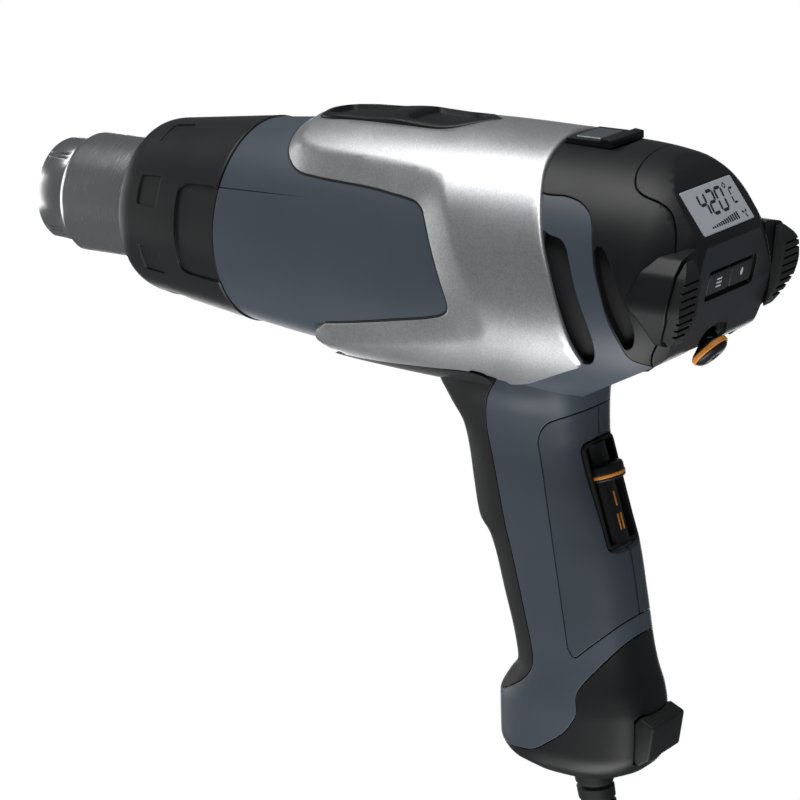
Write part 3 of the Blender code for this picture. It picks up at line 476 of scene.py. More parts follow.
# ---- Driving shapes, as in the frame's own model ----
BODY = Line([(3.6, 9), (4.4, 15), (5.4, 20.5), (7, 24.5), (10.5, 28.5), (14, 32), (18, 35), (24, 37.3), (40, 38.9),
             (60, 39.3), (80, 38.9), (100, 38.0), (125, 36.6), (150, 34.7), (170.3, 32.7)])
SADDLE = Line([(30, 39.8), (60, 40.7), (80, 40.9), (100, 40.6), (122, 39.9), (140, 38.7), (149, 37.4), (154, 36.0)])
HANDLE = Line([(-18, 104, 50, 21), (-36, 103.5, 50.8, 20.5), (-44, 100, 50.8, 18.6), (-52, 95, 50.6, 17.4),
               (-60, 93.2, 48.8, 16.8), (-70, 91.9, 45.2, 16.6), (-81, 90, 41.1, 16.4), (-86, 86.4, 39.6, 16.3),
               (-104, 80.9, 36.4, 16.2), (-118, 77.1, 34.2, 16.2), (-125, 76, 32.6, 16.6), (-131, 79.8, 30.4, 17.2),
               (-137, 82.7, 29.4, 17.6), (-150, 82.5, 29.6, 17.6), (-155, 79.8, 32.5, 16.6), (-158.5, 72, 39, 13)])
HANDLE_FOOT = -158.5
HANDLE_SQUARE = 2.6
HANDLE_SIDES = 96
WALL = 2.4

COVER_OUTLINE = rounded([
    (61.4, 48), (56.4, 34.6), (53.4, 27.9), (45, 27.4), (39.8, 26.4), (35.6, 24), (33.6, 21), (31.8, 16),
    (30.3, 11), (27.4, 3), (25.1, -5), (22.8, -11), (20.6, -16.4), (16.3, -18.7), (14.5, -20),
    (13.5, -48), (-12, -48), (-12, 48)])
CAP_OUTLINE = rounded([
    (29.6, 48), (28.8, 36.1), (27.5, 33.3), (25.6, 31), (22.6, 29.3), (17.5, 27.3), (14.2, 24.6), (11.8, 20),
    (10.6, 15), (9.6, 8), (10, 0), (12.3, -9), (15.2, -15.5), (15.9, -18.5), (15.9, -48), (-12, -48),
    (-12, 48)])
HEAD = [
    (66, 44), (36, 40.5), (24, 37.8), (18.8, 34), (15.8, 29.4), (6.6, 16.8), (5.6, 14.6), (5.5, 6), (7.3, -2),
    (9.6, -9), (12.6, -17), (16.4, -19.6), (24.5, -23.8), (34, -28.8), (44, -34.2), (62, -44), (66, -44)]
HEAD_OUTLINE = corner_rounded(HEAD, 1.6, 3)
UNDERSIDE = [  # cut away where the head's underside rises to the rear
    (0, -17), (12.6, -17), (16.4, -19.6), (24.5, -23.8), (34, -28.8), (44, -34.2), (54, -39.6), (54, -60), (0, -60)]
GRIP_OUTLINE = corner_rounded([
    (134.5, -33.4), (113, -32.4), (94.3, -31.6), (78, -30.2), (73.5, -32), (79, -41), (80, -50), (78.6, -58),
    (74.4, -80), (65.2, -118.5), (64.6, -124), (68, -129), (77, -135), (90, -139), (110, -120), (140, -40)], 4.0, 5)
BASE_OUTLINE = corner_rounded([
    (10, -102), (33, -110), (46, -126), (48.5, -130), (47.5, -136), (52, -143), (63, -151), (72, -152.4),
    (95, -156), (95, -175), (10, -175)], 3.0, 4)
PANEL_OUTLINE = corner_rounded([
    (62.2, -51), (59.6, -46), (50, -42.5), (30, -40), (20, -60), (20, -98), (36, -106), (49.6, -118.6),
    (51.6, -116)], 2.5, 5)
PANEL_DEPTH = 1.4


def body_line(start, end, inset, step=1.5):
    """(x, radius) down the body from start to end, drawn in by inset."""
    count = max(2, round((end - start) / step))
    xs = np.linspace(0, 1, count + 1)
    xs = start + (end - start) * xs ** (1.6 if start < 6 else 1.0)
    return [(float(x), float(BODY(x)) - inset) for x in xs]


def body_solid(name, start, end, inset, finish=None):
    return turned(name, body_line(start, end, inset), finish, hollow=False)


def handle_solid(name, inset, top=-18.0, foot=HANDLE_FOOT, finish=None, step=1.3):
    """The handle's outer shape drawn in by inset."""
    power = 2 / HANDLE_SQUARE
    rings = []
    for z in np.linspace(top, foot, round((top - foot) / step) + 1):
        front, rear, half = (float(HANDLE(z, k)) for k in range(3))
        centre, a, b = (front + rear) / 2, (front - rear) / 2 - inset, half - inset
        ring = []
        for i in range(HANDLE_SIDES):
            turn = 2 * pi * (i + 0.5) / HANDLE_SIDES
            c, s = cos(turn), sin(turn)
            ring.append((centre + a * abs(c) ** power * (1 if c > 0 else -1),
                         b * abs(s) ** power * (1 if s > 0 else -1), float(z)))
        rings.append(ring)
    return loft(name, rings, finish)


# ---- Cord: lead, hank and tail as one line, with its boot, tie and plug ----
CORD_D = 7.0
BOOT_X = 53.0
BOOT_LENGTH, BOOT_R, BOOT_END_R = 42.0, 6.2, 4.6
BOOT_DROP = radians(20)
TIE = 0.9
HANK_RUN, HANK_R, HANK_STEP, HANK_LAYERS = 90.0, 21.0, 7.1, 3
HANK_START = (212.0, -6.0)
HANK_LOW = 1.2
HANK_HIGH = HANK_LOW + HANK_LAYERS * HANK_STEP + 0.1
HANK_OUTER = HANK_R + HANK_STEP + CORD_D / 2
PLUG_START, PLUG_LENGTH, PLUG_WIDTH, PLUG_THICK = 280.0, 34.0, 41.0, 27.0
PLUG_AXIS = HANK_HIGH + 0.3 + PLUG_THICK / 2
boot_start = Vector(row(BOOT_X, -158.9))
boot_along = Vector((cos(BOOT_DROP), 0, -sin(BOOT_DROP)))
boot_end = boot_start + boot_along * BOOT_LENGTH


def ease(t):
    t = min(1.0, max(0.0, t))
    return t * t * (3 - 2 * t)


def hank_line():
    """The line of the hank's turns: two side by side in each layer, changing place on the right-hand runs."""
    x0, y0 = HANK_START
    inner, outer = HANK_R, HANK_R + HANK_STEP
    z = [HANK_LOW + CORD_D / 2 + HANK_STEP * k for k in range(HANK_LAYERS)]
    turns = [(outer, z[0]), (inner, z[0]), (inner, z[1]), (outer, z[1]), (outer, z[2]), (inner, z[2])]
    line = []
    for number, (r, level) in enumerate(turns):
        r_next, level_next = turns[number + 1] if number + 1 < len(turns) else (r, level)
        line += [(x0 + HANK_RUN * k / 10, y0 + r, level) for k in range(10)]
        line += [(x0 + HANK_RUN + r * sin(pi * k / 12), y0 + r * cos(pi * k / 12), level) for k in range(12)]
        late = number == 0
        for k in range(16):
            part = k / 16
            move = ease(2 * part - 1) if late else ease(2 * part)
            radius, height = r + (r_next - r) * move, level + (level_next - level) * move
            line.append((x0 + HANK_RUN * (1 - part), y0 - radius, height))
        line += [(x0 - r_next * sin(pi * k / 12), y0 - r_next * cos(pi * k / 12), level_next) for k in range(12)]
    return line


hank = hank_line()
LEAD_ROUTE = [tuple(boot_end + boot_along * 0.3), (142, 0, 8.3), (146, 0, 7.0), (150, 0, 5.9), (154, 0, 5.1),
              (158.5, 0.05, 4.5), (163, 0.2, 4.2), (167.5, 0.9, 4.2), (171.5, 2.2, 4.3), (179.3, 6.0, 4.7),
              (187, 11.0, 4.7), (195, 16.4, 4.7), (203, 20.4, 4.7)]
TAIL_ROUTE = [(212, 15, 18.9), (220, 13.2, 19.6), (228, 9.4, 22.4), (236.5, 4.8, 26.9), (243, 1.3, 30.0),
              (250, -2.6, 33.3), (256, -5.0, 35.4), (PLUG_START - 18.9, HANK_START[1], PLUG_AXIS)]


def cord_curve(name, line, thickness, finish):
    curve = bpy.data.curves.new(name, "CURVE")
    curve.dimensions = "3D"
    curve.bevel_depth = thickness / 2 * MM
    curve.bevel_resolution = 6
    curve.use_fill_caps = True
    spline = curve.splines.new("POLY")
    spline.points.add(len(line) - 1)
    for place, point in zip(spline.points, line):
        place.co = (*(Vector(point) * MM), 1)
    curve.materials.append(finish)
    return linked(name, curve)


cord_line = rounded(LEAD_ROUTE + hank + TAIL_ROUTE, 2.5, closed=False)
cord = cord_curve("power_lead", cord_line, CORD_D, CORD_SKIN)
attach(cord, "gun")
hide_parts("power_cord", "power_cord_tail", "cord_hank")


def ring_about(centre, direction, radius, sides=40):
    """A circle in the frame, square to a direction in the x-z plane."""
    d = Vector(direction).normalized()
    side = Vector((0, 1, 0))
    up = side.cross(d)
    return [tuple(Vector(centre) + side * (radius * sin(2 * pi * i / sides)) + up * (radius * cos(2 * pi * i / sides)))
            for i in range(sides)]


def cord_boot():
    """The strain relief: a flange in the base, then a tapered sleeve with grooves between its ribs."""
    square = Vector(row(0, -1)) - Vector(row(0, 0))
    rings = [ring_about(row(BOOT_X, z), square, r)
             for z, r in ((-152.8, 6.2), (-155.1, 6.2), (-155.1, 4.2), (-158.9, 4.2), (-158.9, BOOT_R - 0.4))]
    ribs, steps = 8, 96
    for k in range(steps + 1):
        part = k / steps
        direction = square.lerp(boot_along, min(1, 2 * (part + 0.02)))
        radius = BOOT_R + (BOOT_END_R - BOOT_R) * part
        groove = (part * ribs) % 1.0
        if 0.12 < part < 0.93 and groove < 0.3:
            radius -= 0.75 * sin(pi * groove / 0.3)
        rings.append(ring_about(boot_start + boot_along * BOOT_LENGTH * part, direction, radius))
    return piece(loft("lead_boot", rings, RUBBER, in_gun=False), "gun", "black_rubber", "cord_boot")


def tie_strap():
    """The tie round the hank's middle: a thin strap with rounded corners."""
    half, low, high = HANK_OUTER + 0.3, TIE, HANK_HIGH + 0.3
    centre = HANK_START[1]
    inner = corner_rounded([(half, low), (-half, low), (-half, high), (half, high)], 2.2, 4)
    outer = corner_rounded([(half + TIE, 0), (-half - TIE, 0), (-half - TIE, high + TIE), (half + TIE, high + TIE)],
                           2.8, 4)
    rings = [[(x, centre + y, z) for y, z in line] for x, line in
             ((244, inner), (244, outer), (254, outer), (254, inner))]
    return piece(loft("lead_tie", rings, BLACK, ends=False, in_gun=False), "gun", "black_rubber", "cord_tie")


def plug_ring(x, width, thick, sides=72, square=2.8):
    power = 2 / square
    ring = []
    for i in range(sides):
        c, s = cos(2 * pi * i / sides), sin(2 * pi * i / sides)
        ring.append((x, HANK_START[1] + width / 2 * abs(c) ** power * (1 if c > 0 else -1),
                     PLUG_AXIS + thick / 2 * abs(s) ** power * (1 if s > 0 else -1)))
    return ring


def plug():
    """The moulded plug: a ribbed neck, a flared body with grip grooves at its sides, and a flat face."""
    shape = Line([(-18, 9.2, 9.2), (-3, 12.2, 12.2), (0, 23, 19.5), (7, 37.5, 26.4), (12, 40.6, 26.8),
                  (33, 40.8, 26.8), (34, 39.4, 25.6)])
    rings = []
    for x in [*np.arange(-18, 0, 0.5), *np.arange(0, 33, 0.5), 33, 33.4, 33.8, 34]:
        width, thick = float(shape(x, 0)), float(shape(x, 1))
        if -15 < x < -4 and (x + 15) % 3 < 1.2:
            width, thick = width - 1.2, thick - 1.2
        if 13 < x < 28 and (x - 13) % 3 < 1.2:
            width -= 1.1
        rings.append(plug_ring(PLUG_START + float(x), width, thick))
    body = loft("lead_plug", rings, BLACK, in_gun=False)
    return piece(body, "gun", "black_plastic", "mains_plug", angle=40)


boot = cord_boot()
tie = tie_strap()
plug_body = plug()
PIN_LENGTH, PIN_R, PIN_PITCH = 19.0, 2.4, 19.0
for side, place in (("left", 0.5), ("right", -0.5)):
    start = PLUG_START + PLUG_LENGTH + 0.3
    tip = [(start + PIN_LENGTH - PIN_R * (1 - sin(a)), PIN_R * cos(a)) for a in np.linspace(0, 1.45, 8)]
    pin = turned(f"pin_{side}", [(start, PIN_R * 0.96), (start + 9, PIN_R * 0.96), (start + 9.2, PIN_R),
                                 *tip], PIN_METAL, 32, False, False, HANK_START[1] + place * PIN_PITCH, PLUG_AXIS)
    piece(pin, "gun", "pin_metal", f"plug_pin_{side}")


# ---- Surface patches: a closed skin over the barrel, cut to an outline, with rounded edges ----
UNROLL = 40.0  # radius at which angle round the barrel is read as a length


def flat(x, z, radius=SADDLE):
    """A side-view point as (x, length round from the top)."""
    return (x, UNROLL * acos(max(-1.0, min(1.0, z / float(radius(x))))))


def mirrored(line):
    """A loop from a left-hand line that starts and ends on top of the barrel."""
    return line + [(x, -s) for x, s in line[::-1] if abs(s) > 0.2]


def distance_to(points, line, closed=True):
    """Each point's distance to a line of points."""
    a = np.array(line, float)
    b = np.roll(a, -1, 0) if closed else a[1:]
    a = a if closed else a[:-1]
    best = np.full(len(points), 1e9)
    for p, q in zip(a, b):
        d = q - p
        t = np.clip((points - p) @ d / max(d @ d, 1e-12), 0, 1)
        best = np.minimum(best, np.hypot(*(points - p - t[:, None] * d).T))
    return best


def inside(points, loop):
    """Whether each point is inside a closed loop."""
    found = np.zeros(len(points), bool)
    a = np.array(loop, float)
    for (x1, y1), (x2, y2) in zip(a, np.roll(a, -1, 0)):
        crosses = (y1 > points[:, 1]) != (y2 > points[:, 1])
        where = x1 + (points[:, 1] - y1) * (x2 - x1) / np.where(abs(y2 - y1) > 1e-12, y2 - y1, 1e-12)
        found ^= crosses & (points[:, 0] < where)
    return found


def patch(name, loops, creases, height, base, finish, spacing=2.0):
    """A skin over the barrel between loops[0] and the holes loops[1:], as a closed solid.

    height(points) gives its outer radius at (x, length round) points and base(points) the inner one.
    creases are open or closed lines that the triangles follow."""
    lo, hi = np.min(loops[0], 0), np.max(loops[0], 0)
    grid = []
    for k, s in enumerate(np.arange(lo[1], hi[1], spacing * 0.87)):
        shift = spacing / 2 * (k % 2)
        grid += [(x + shift, s) for x in np.arange(lo[0], hi[0], spacing)]
    grid = np.array(grid)
    keep = inside(grid, loops[0]) & (distance_to(grid, loops[0]) > spacing * 0.5)
    for hole in loops[1:]:
        keep &= ~inside(grid, hole) & (distance_to(grid, hole) > spacing * 0.5)
    for crease, closed in creases:
        keep &= distance_to(grid, crease, closed) > spacing * 0.45
    points, edges = [tuple(p) for p in grid[keep]], []
    for line, closed in [(loop, True) for loop in loops] + list(creases):
        first = len(points)
        points += [tuple(p) for p in line]
        edges += [(first + i, first + i + 1) for i in range(len(line) - 1)]
        if closed:
            edges.append((first + len(line) - 1, first))
    out = delaunay_2d_cdt([Vector(p) for p in points], edges, [], 0, 1e-4)
    flat_points, faces = np.array([tuple(v) for v in out[0]]), [list(f) for f in out[2]]
    centres = np.array([flat_points[f].mean(0) for f in faces])
    wanted = inside(centres, loops[0])
    for hole in loops[1:]:
        wanted &= ~inside(centres, hole)
    faces = [f for f, w in zip(faces, wanted) if w]
    used = sorted({i for f in faces for i in f})
    index = {old: new for new, old in enumerate(used)}
    flat_points = flat_points[used]
    faces = [[index[i] for i in f] for f in faces]
    count = len(used)

    def lifted(radius):
        turn = flat_points[:, 1] / UNROLL
        return np.stack([flat_points[:, 0], radius * np.sin(turn), radius * np.cos(turn)], 1)

    outer, inner = lifted(height(flat_points)), lifted(base(flat_points))
    sides = dict.fromkeys((a, b) for f in faces for a, b in zip(f, f[1:] + f[:1]))
    rim = [(a, b) for a, b in sides if (b, a) not in sides]
    walls = [[b, a, a + count, b + count] for a, b in rim]
    skin, whole = np.concatenate([outer, inner]), faces + [[i + count for i in f[::-1]] for f in faces] + walls
    return solid(name, skin, outward(skin, whole), finish)


def edge_drop(distance, radius):
    """How far a rounded edge of that radius lies under its face, at a distance in from the rim."""
    t = np.clip(1 - distance / radius, 0, 1)
    return radius * (1 - np.sqrt(1 - t * t))


# ---- Silver saddle ----
NOSE = [(153.6, 36.3), (152.4, 34.9), (149.6, 30.8), (145.6, 27.8), (141, 25.9), (132.7, 25.2), (111.7, 24.5),
        (103.5, 23.7), (97.5, 23.0), (93.6, 22.1), (91.0, 20.3), (89.2, 17.6), (86.3, 12), (82.8, 4), (80.2, -3.4),
        (79.2, -7.4), (79.6, -9.8), (81.6, -11.6), (86, -13.3), (102, -17.3), (116, -20.8), (130.6, -24.2)]
LOWER = [(134.8, -26.2), (136.4, -28.8), (136.2, -31.4), (133.2, -33.4), (120, -33.6), (108, -32.6),
         (94.3, -31.3), (77.3, -29.9), (72, -31.6), (67.5, -32.9), (60, -31.3), (53.5, -28.5), (45, -24.6),
         (36.4, -20.8)]
REAR = [(35.7, -19.6), (37.5, -14.4), (40.1, -4.5), (43.5, 6.5), (47.3, 15.6), (50, 22.2), (52.8, 28.5), (55.6, 34.4),
        (57.2, 39.2), (57.6, 40.6)]
CREASE = [(147.6, 37.6), (147.2, 36.2), (145.8, 33.6), (143.6, 32.0), (139, 31.4), (132.8, 31.2), (111.6, 31),
          (99, 30.6), (91.7, 29.8), (87, 27.9), (82.6, 22.8), (77.9, 14.6), (72.1, 4.2), (68.1, -5), (66.6, -10.2),
          (67.0, -13.8), (70.2, -16.9), (79.4, -19.4), (96.6, -23.1), (115.3, -26.7), (130.0, -28.9), (134.3, -29.6)]
INLAY = [(147.6, 0), (147.2, 5.2), (145.4, 8.8), (142, 10.4), (132, 11.0), (112, 12.2), (99, 12.6), (94.6, 11.2),
         (90.5, 7.4), (86.6, 2.8), (84.4, 0)]
SADDLE_EDGE = 0.9


def saddle():
    nose = rounded([flat(*p) for p in NOSE], 1.0, False)
    lower = rounded([flat(*p) for p in LOWER], 1.0, False)
    rear = rounded([flat(*p) for p in REAR], 1.0, False)
    crease = rounded([flat(*p) for p in CREASE], 1.0, False)
    inlay = rounded([(x, s * UNROLL / float(SADDLE(x))) for x, s in INLAY], 1.0, False)
    rim, hole = mirrored(nose + lower + rear), mirrored(inlay)
    face = mirrored(crease + lower[4:] + rear)
    first, last = len(nose) + len(lower), len(nose) + len(lower) + len(rear)
    lip = [(grown(hole, 0.5), True)]
    for inset in (0.25, 0.9):
        line = grown(rim, -inset)[first:last]
        lip += [(line, False), ([(x, -s) for x, s in line], False)]

    def height(points):
        right = points.copy()
        right[:, 1] = abs(right[:, 1])
        top = SADDLE(points[:, 0])
        to_rim, to_crease = distance_to(right, nose, False), distance_to(right, crease, False)
        part = to_rim / np.maximum(to_rim + to_crease, 1e-6)
        part = np.where(inside(points, face), 1.0, np.clip(part, 0, 1))
        edge = np.minimum(BODY(points[:, 0]) + 0.15, top)
        made = edge + (top - edge) * part
        made = made - edge_drop(distance_to(right, rear, False), SADDLE_EDGE) * 0.8
        return made - edge_drop(distance_to(points, hole), 0.5) * 0.8

    creases = [(crease, False), ([(x, -s) for x, s in crease], False), *lip]
    made = patch("saddle_shell", [rim, hole], creases, height, lambda p: BODY(p[:, 0]) - 0.25, SILVER)
    piece(made, "gun", "silver_paint", "silver_saddle", angle=50)
    seam_shade_line = nose + grown(rim, 0.6)[:len(nose)][::-1]
    for side, sign in (("left", 1), ("right", -1)):  # painted shade: a near-black strip round the saddle's front edge, for the shadow in the seam
        made = patch(f"saddle_seam_shade_{side}", [[(x, sign * s) for x, s in seam_shade_line]], [], lambda p: BODY(p[:, 0]) - 0.1,
                     lambda p: BODY(p[:, 0]) - 0.5, RECESS_SHADE_BLACK)
        piece(made, "gun", "black_rubber", angle=50)


def inlay_piece():
    """The black inlay on top of the saddle, with two long pockets and a rib between them."""
    line = rounded([(x, s * UNROLL / float(SADDLE(x))) for x, s in INLAY], 1.0, False)
    rim = grown(mirrored(line), -SEAM)
    pockets = [corner_rounded([(144.4, 5.0), (143.2, 7.4), (122.5, 8.4), (122.5, -8.4), (143.2, -7.4), (144.4, -5)], 3),
               corner_rounded([(113.5, 9.2), (100, 9.6), (95, 7.6), (90.5, 2.6), (90.5, -2.6), (95, -7.6),
                               (100, -9.6), (113.5, -9.2)], 3)]
    creases = [(pocket, True) for pocket in pockets] + [(grown(pocket, -0.7), True) for pocket in pockets]
    creases += [(grown(rim, -0.2), True), (grown(rim, -0.8), True)]

    def height(points):
        x = points[:, 0]
        swell = 0.55 * np.exp(-((x - 138) / 9) ** 2) + 0.75 * np.exp(-((x - 116) / 8) ** 2)
        made = SADDLE(x) + 0.15 + swell - edge_drop(distance_to(points, rim), 0.9)
        for pocket in pockets:
            depth = np.clip(distance_to(points, pocket) / 0.7, 0, 1)
            made = made - np.where(inside(points, pocket), 1.7 * depth, 0)
        return made

    made = patch("saddle_inlay", [rim], creases, height, lambda p: BODY(p[:, 0]) + 0.3, BLACK, 1.6)
    return piece(made, "gun", "black_plastic", "top_inlay", angle=50)


saddle()
inlay_piece()


# ---- Blue-grey housing in two halves ----
FRONT_VENT = rounded([(48.6, 18.2), (46.5, 17.3), (42.6, 16.5), (40.2, 14.6), (34.7, 1.1), (31.5, -8.7), (31.0, -13.5),
                      (31.8, -17.4), (33.6, -19.6), (36.4, -19.8), (39.5, -14), (42, -4.5), (45.3, 6.5), (48.6, 14.6)],
                     1.0)
REAR_VENT = rounded([(30.6, 15.9), (28.9, 15.6), (26.6, 13.4), (23.1, 6.5), (19.8, -1.8), (18.5, -7), (18.7, -10.4),
                     (19.8, -12.8), (21.3, -13.4), (22.6, -10.2), (25.0, -4), (27.6, 4), (30.0, 11.4), (31.0, 14.6)],
                    1.0)
SWITCH_TOP, SWITCH_FOOT = (50.3, -53), (40.6, -85)
SWITCH_LENGTH = hypot(SWITCH_TOP[0] - SWITCH_FOOT[0], SWITCH_TOP[1] - SWITCH_FOOT[1])
SWITCH_HALF_WIDTH = 8.5
SWITCH_KNOB_R = 6.4
BARREL_LINE_TURN, BARREL_LINE_DEPTH = radians(61.5), 0.55
SCREWS = [(160, 8, 33.2), (70, -44, 18.4), (64, -90, 16.3), (58, -122, 16.4)]  # x, z and the shell's half width


def along_switch(distance, depth, y=0.0):
    """A point a distance down the switch's slot and a depth under the handle's back."""
    top = Vector(SWITCH_TOP)
    along = (Vector(SWITCH_FOOT) - top).normalized()
    inward = Vector((-along[1], along[0]))
    x, z = top + along * distance + inward * depth
    return (x, y, z)


def switch_well(name, start, end, half, low, high, corner=2.0, flare=0.0, finish=None):
    """A well along the slot, from depth high under the handle's back to low over it, wider outside by flare."""
    lip = [(1.6, 0.0), (-0.6, flare)] if flare else []
    rings = []
    for depth, extra in [(high, 0.0), *lip, (low, flare)]:
        outline = corner_rounded([(start - extra, -half - extra), (end + extra, -half - extra),
                                  (end + extra, half + extra), (start - extra, half + extra)], corner + extra, 4)
        rings.append([along_switch(d, depth, y) for d, y in outline])
    return loft(name, rings, finish)


def both_sides(target, outline, near=22.0):
    for sign in (1, -1):
        low, high = sorted((sign * near, sign * FAR))
        boolean(target, prism("slot", outline, low, high))


def housing():
    whole = body_solid("housing", 14.5, 170.3, 0.3, SHELL)
    boolean(whole, through("underside", UNDERSIDE))
    boolean(whole, handle_solid("handle_outer", 0), "UNION")
    cavity = body_solid("cavity", 9, 168, WALL + 0.3)
    boolean(whole, boolean(cavity, through("cavity_floor", grown(UNDERSIDE, WALL))))
    boolean(whole, handle_solid("handle_cavity", WALL + PANEL_DEPTH + 0.3, -18, -152))
    boolean(whole, turned("neck_bore", [(160, 29.8), (190, 29.8)], hollow=False))
    for outline in (COVER_OUTLINE, CAP_OUTLINE, GRIP_OUTLINE, BASE_OUTLINE):
        boolean(whole, through("region", grown(outline)))
    recess = through("panel_recess", grown(PANEL_OUTLINE))
    boolean(whole, boolean(recess, handle_solid("panel_core", PANEL_DEPTH + 0.3, -30, -140)))
    boolean(whole, switch_well("cut_switch", 0, SWITCH_LENGTH, SWITCH_HALF_WIDTH + 0.3, -12, 12.3))
    both_sides(whole, FRONT_VENT)
    boolean(whole, stick_turned("stick_hole", STICK_HOLE))
    for sign in (1, -1):  # a fine crease that fades out along the barrel
        s = sign * BARREL_LINE_TURN * UNROLL
        line = dense([(175, s - 0.35), (175, s + 0.35), (136, s + 0.02), (136, s - 0.02)])
        boolean(whole, patch("crease", [line], [], lambda p: BODY(p[:, 0]) + 2,
                             lambda p: BODY(p[:, 0]) - BARREL_LINE_DEPTH, None))
    for side, low, high in (("left", 0.12, FAR), ("right", -FAR, -0.12)):
        half = copy_of(whole, f"body_half_{side}", SHELL)
        boolean(half, slab(low, high), "INTERSECT")
        if side == "right":
            for x, z, y in SCREWS:
                boolean(half, side_turned("boss", x, z, [(-y + 0.7, 4.6), (-y + 6.5, 4.6)]), "UNION")
                boolean(half, side_turned("hole", x, z, [(-y - 8, 3.2), (-y + 3.0, 3.1), (-y + 3.0, 1.6),
                                                         (-y + 13, 1.6)]))
        piece(half, "gun", "blue_grey_plastic", f"housing_{side}")
    remove(whole)


def side_turned(name, x, z, outline, finish=None, sides=36):
    """A piece turned about a line across the gun, from (y, radius) points."""
    rings = [[(x + r * cos(2 * pi * i / sides), y, z + r * sin(2 * pi * i / sides)) for i in range(sides)]
             for y, r in outline]
    return loft(name, rings, finish)


def screws():
    """Pan-head screws with a six-lobed socket."""
    for number, (x, z, y) in enumerate(SCREWS, 1):
        seat = -y + 2.7
        made = side_turned(f"screw_{number}", x, z, [(seat - 1.8, 2.0), (seat - 1.5, 2.5), (seat - 1.0, 2.8),
                                                     (seat, 2.8), (seat, 1.4), (seat + 7, 1.4)], PLAIN_STEEL)
        lobes = [[(x + r * cos(a), level, z + r * sin(a)) for a in np.linspace(0, 2 * pi, 48, endpoint=False)
                  for r in (1.25 + 0.22 * cos(6 * a),)] for level in (seat - 3, seat - 0.6)]
        boolean(made, loft("socket", lobes))
        piece(made, "gun", "pin_metal", f"housing_screw_{number}")


# ---- Inlet cover, its latch and the filters behind the slots ----
def body_shell(name, start, end, inset, deep, finish=None):
    outer = body_line(start, end, inset)
    return turned(name, outer + body_line(start, end, deep)[::-1], finish)


LATCH_START, LATCH_END, LATCH_HALF_WIDTH, LATCH_LOW, LATCH_TOP, LATCH_TRAVEL = 41.2, 56.6, 9.2, 38.0, 39.9, 2.5


def inlet_cover():
    cover = body_shell("cover_shell", 9, 60, 0, WALL, BLACK)
    boolean(cover, through("cover_region", COVER_OUTLINE), "INTERSECT")
    boolean(cover, through("keep_head", HEAD_OUTLINE), "INTERSECT")
    boolean(cover, through("cap_region", grown(CAP_OUTLINE)))
    both_sides(cover, REAR_VENT)
    boolean(cover, block("latch_pocket", (LATCH_START - LATCH_TRAVEL - 0.3, -LATCH_HALF_WIDTH - 0.3, LATCH_LOW - 0.3),
                         (70, LATCH_HALF_WIDTH + 0.3, 50)))
    boolean(cover, stick_turned("stick_hole", STICK_HOLE))
    piece(cover, "gun", "black_plastic", "inlet_cover")


def latch():
    outline = corner_rounded([
        (LATCH_START, LATCH_LOW), (LATCH_END, LATCH_LOW), (LATCH_END, LATCH_TOP), (LATCH_START + 4, LATCH_TOP),
        (LATCH_START + 3, LATCH_TOP + 0.8), (LATCH_START, LATCH_TOP + 0.45)], 0.3, 3)
    made = prism("latch_slide", outline, -LATCH_HALF_WIDTH, LATCH_HALF_WIDTH, BLACK)
    seat = corner_rounded([(LATCH_START + 5, -6.8), (LATCH_END - 1.2, -6.8), (LATCH_END - 1.2, 6.8),
                           (LATCH_START + 5, 6.8)], 1.0)
    boolean(made, loft("seat", [[(x, y, z) for x, y in seat] for z in (LATCH_TOP - 0.9, 44)]))
    piece(made, "latch", "black_plastic", "filter_latch")
    inlay = corner_rounded([(LATCH_START + 5.25, -6.55), (LATCH_END - 1.45, -6.55), (LATCH_END - 1.45, 6.55),
                            (LATCH_START + 5.25, 6.55)], 0.9)
    made = loft("latch_plate", [[(x, y, z) for x, y in grown(inlay, -drop)] for z, drop in
                                ((LATCH_TOP - 0.6, 0.0), (LATCH_TOP + 0.05, 0.0), (LATCH_TOP + 0.3, 0.3))],
                LATCH_GREY)
    piece(made, "latch", "silver_paint", "latch_insert")


def filters():
    """Woven mesh panels just inside the slots."""
    for side, sign in (("left", 1), ("right", -1)):
        mesh = body_shell(f"filter_{side}", 16, 52, WALL + 0.9, WALL + 2.4, MESH)
        low, high = sorted((sign * 24.0, sign * 60))
        boolean(mesh, block("keep", (17, low, -22), (51, high, 19)), "INTERSECT")
        piece(mesh, "gun", "filter_mesh", f"inlet_filter_{side}")


# ---- Rear cap with the display, the keys and the joystick ----
DISPLAY_TOP, DISPLAY_FOOT = (15.8, 29.4), (6.6, 16.8)
DISPLAY_HALF_WIDTH, DISPLAY_HEIGHT = 14.6, 14.6
KEY_TILT = radians(12.7)
KEY_CENTRE = (6.3, 2.4)
KEY_SIZE = (12.4, 6.6)
KEY_PITCH = 13.2
STICK_CENTRE, STICK_DIRECTION, STICK_R = (16.2, -17.4), (-0.72, -0.69), 6.2
STICK_HOLE = [(-6, 4.2), (-1, 5), (0.5, 9.0), (12, 9.0)]


def frame_on(centre, normal, y=0.0):
    """Axes on a face of the head: local x out of the face, local y to the gun's left, local z up it."""
    out = Vector((normal[0], 0, normal[1])).normalized()
    side = Vector((0, 1, 0))
    up = side.cross(out)
    return Matrix.Translation(Vector((centre[0], y, centre[1]))) @ Matrix((out, side, up)).transposed().to_4x4()


facet = (Vector(DISPLAY_TOP) - Vector(DISPLAY_FOOT)).normalized()
display_axes = frame_on(((DISPLAY_TOP[0] + DISPLAY_FOOT[0]) / 2, (DISPLAY_TOP[1] + DISPLAY_FOOT[1]) / 2),
                        (-facet[1], facet[0]))
key_axes = frame_on(KEY_CENTRE, (-cos(KEY_TILT), -sin(KEY_TILT)))
stick_axes = frame_on(STICK_CENTRE, STICK_DIRECTION)


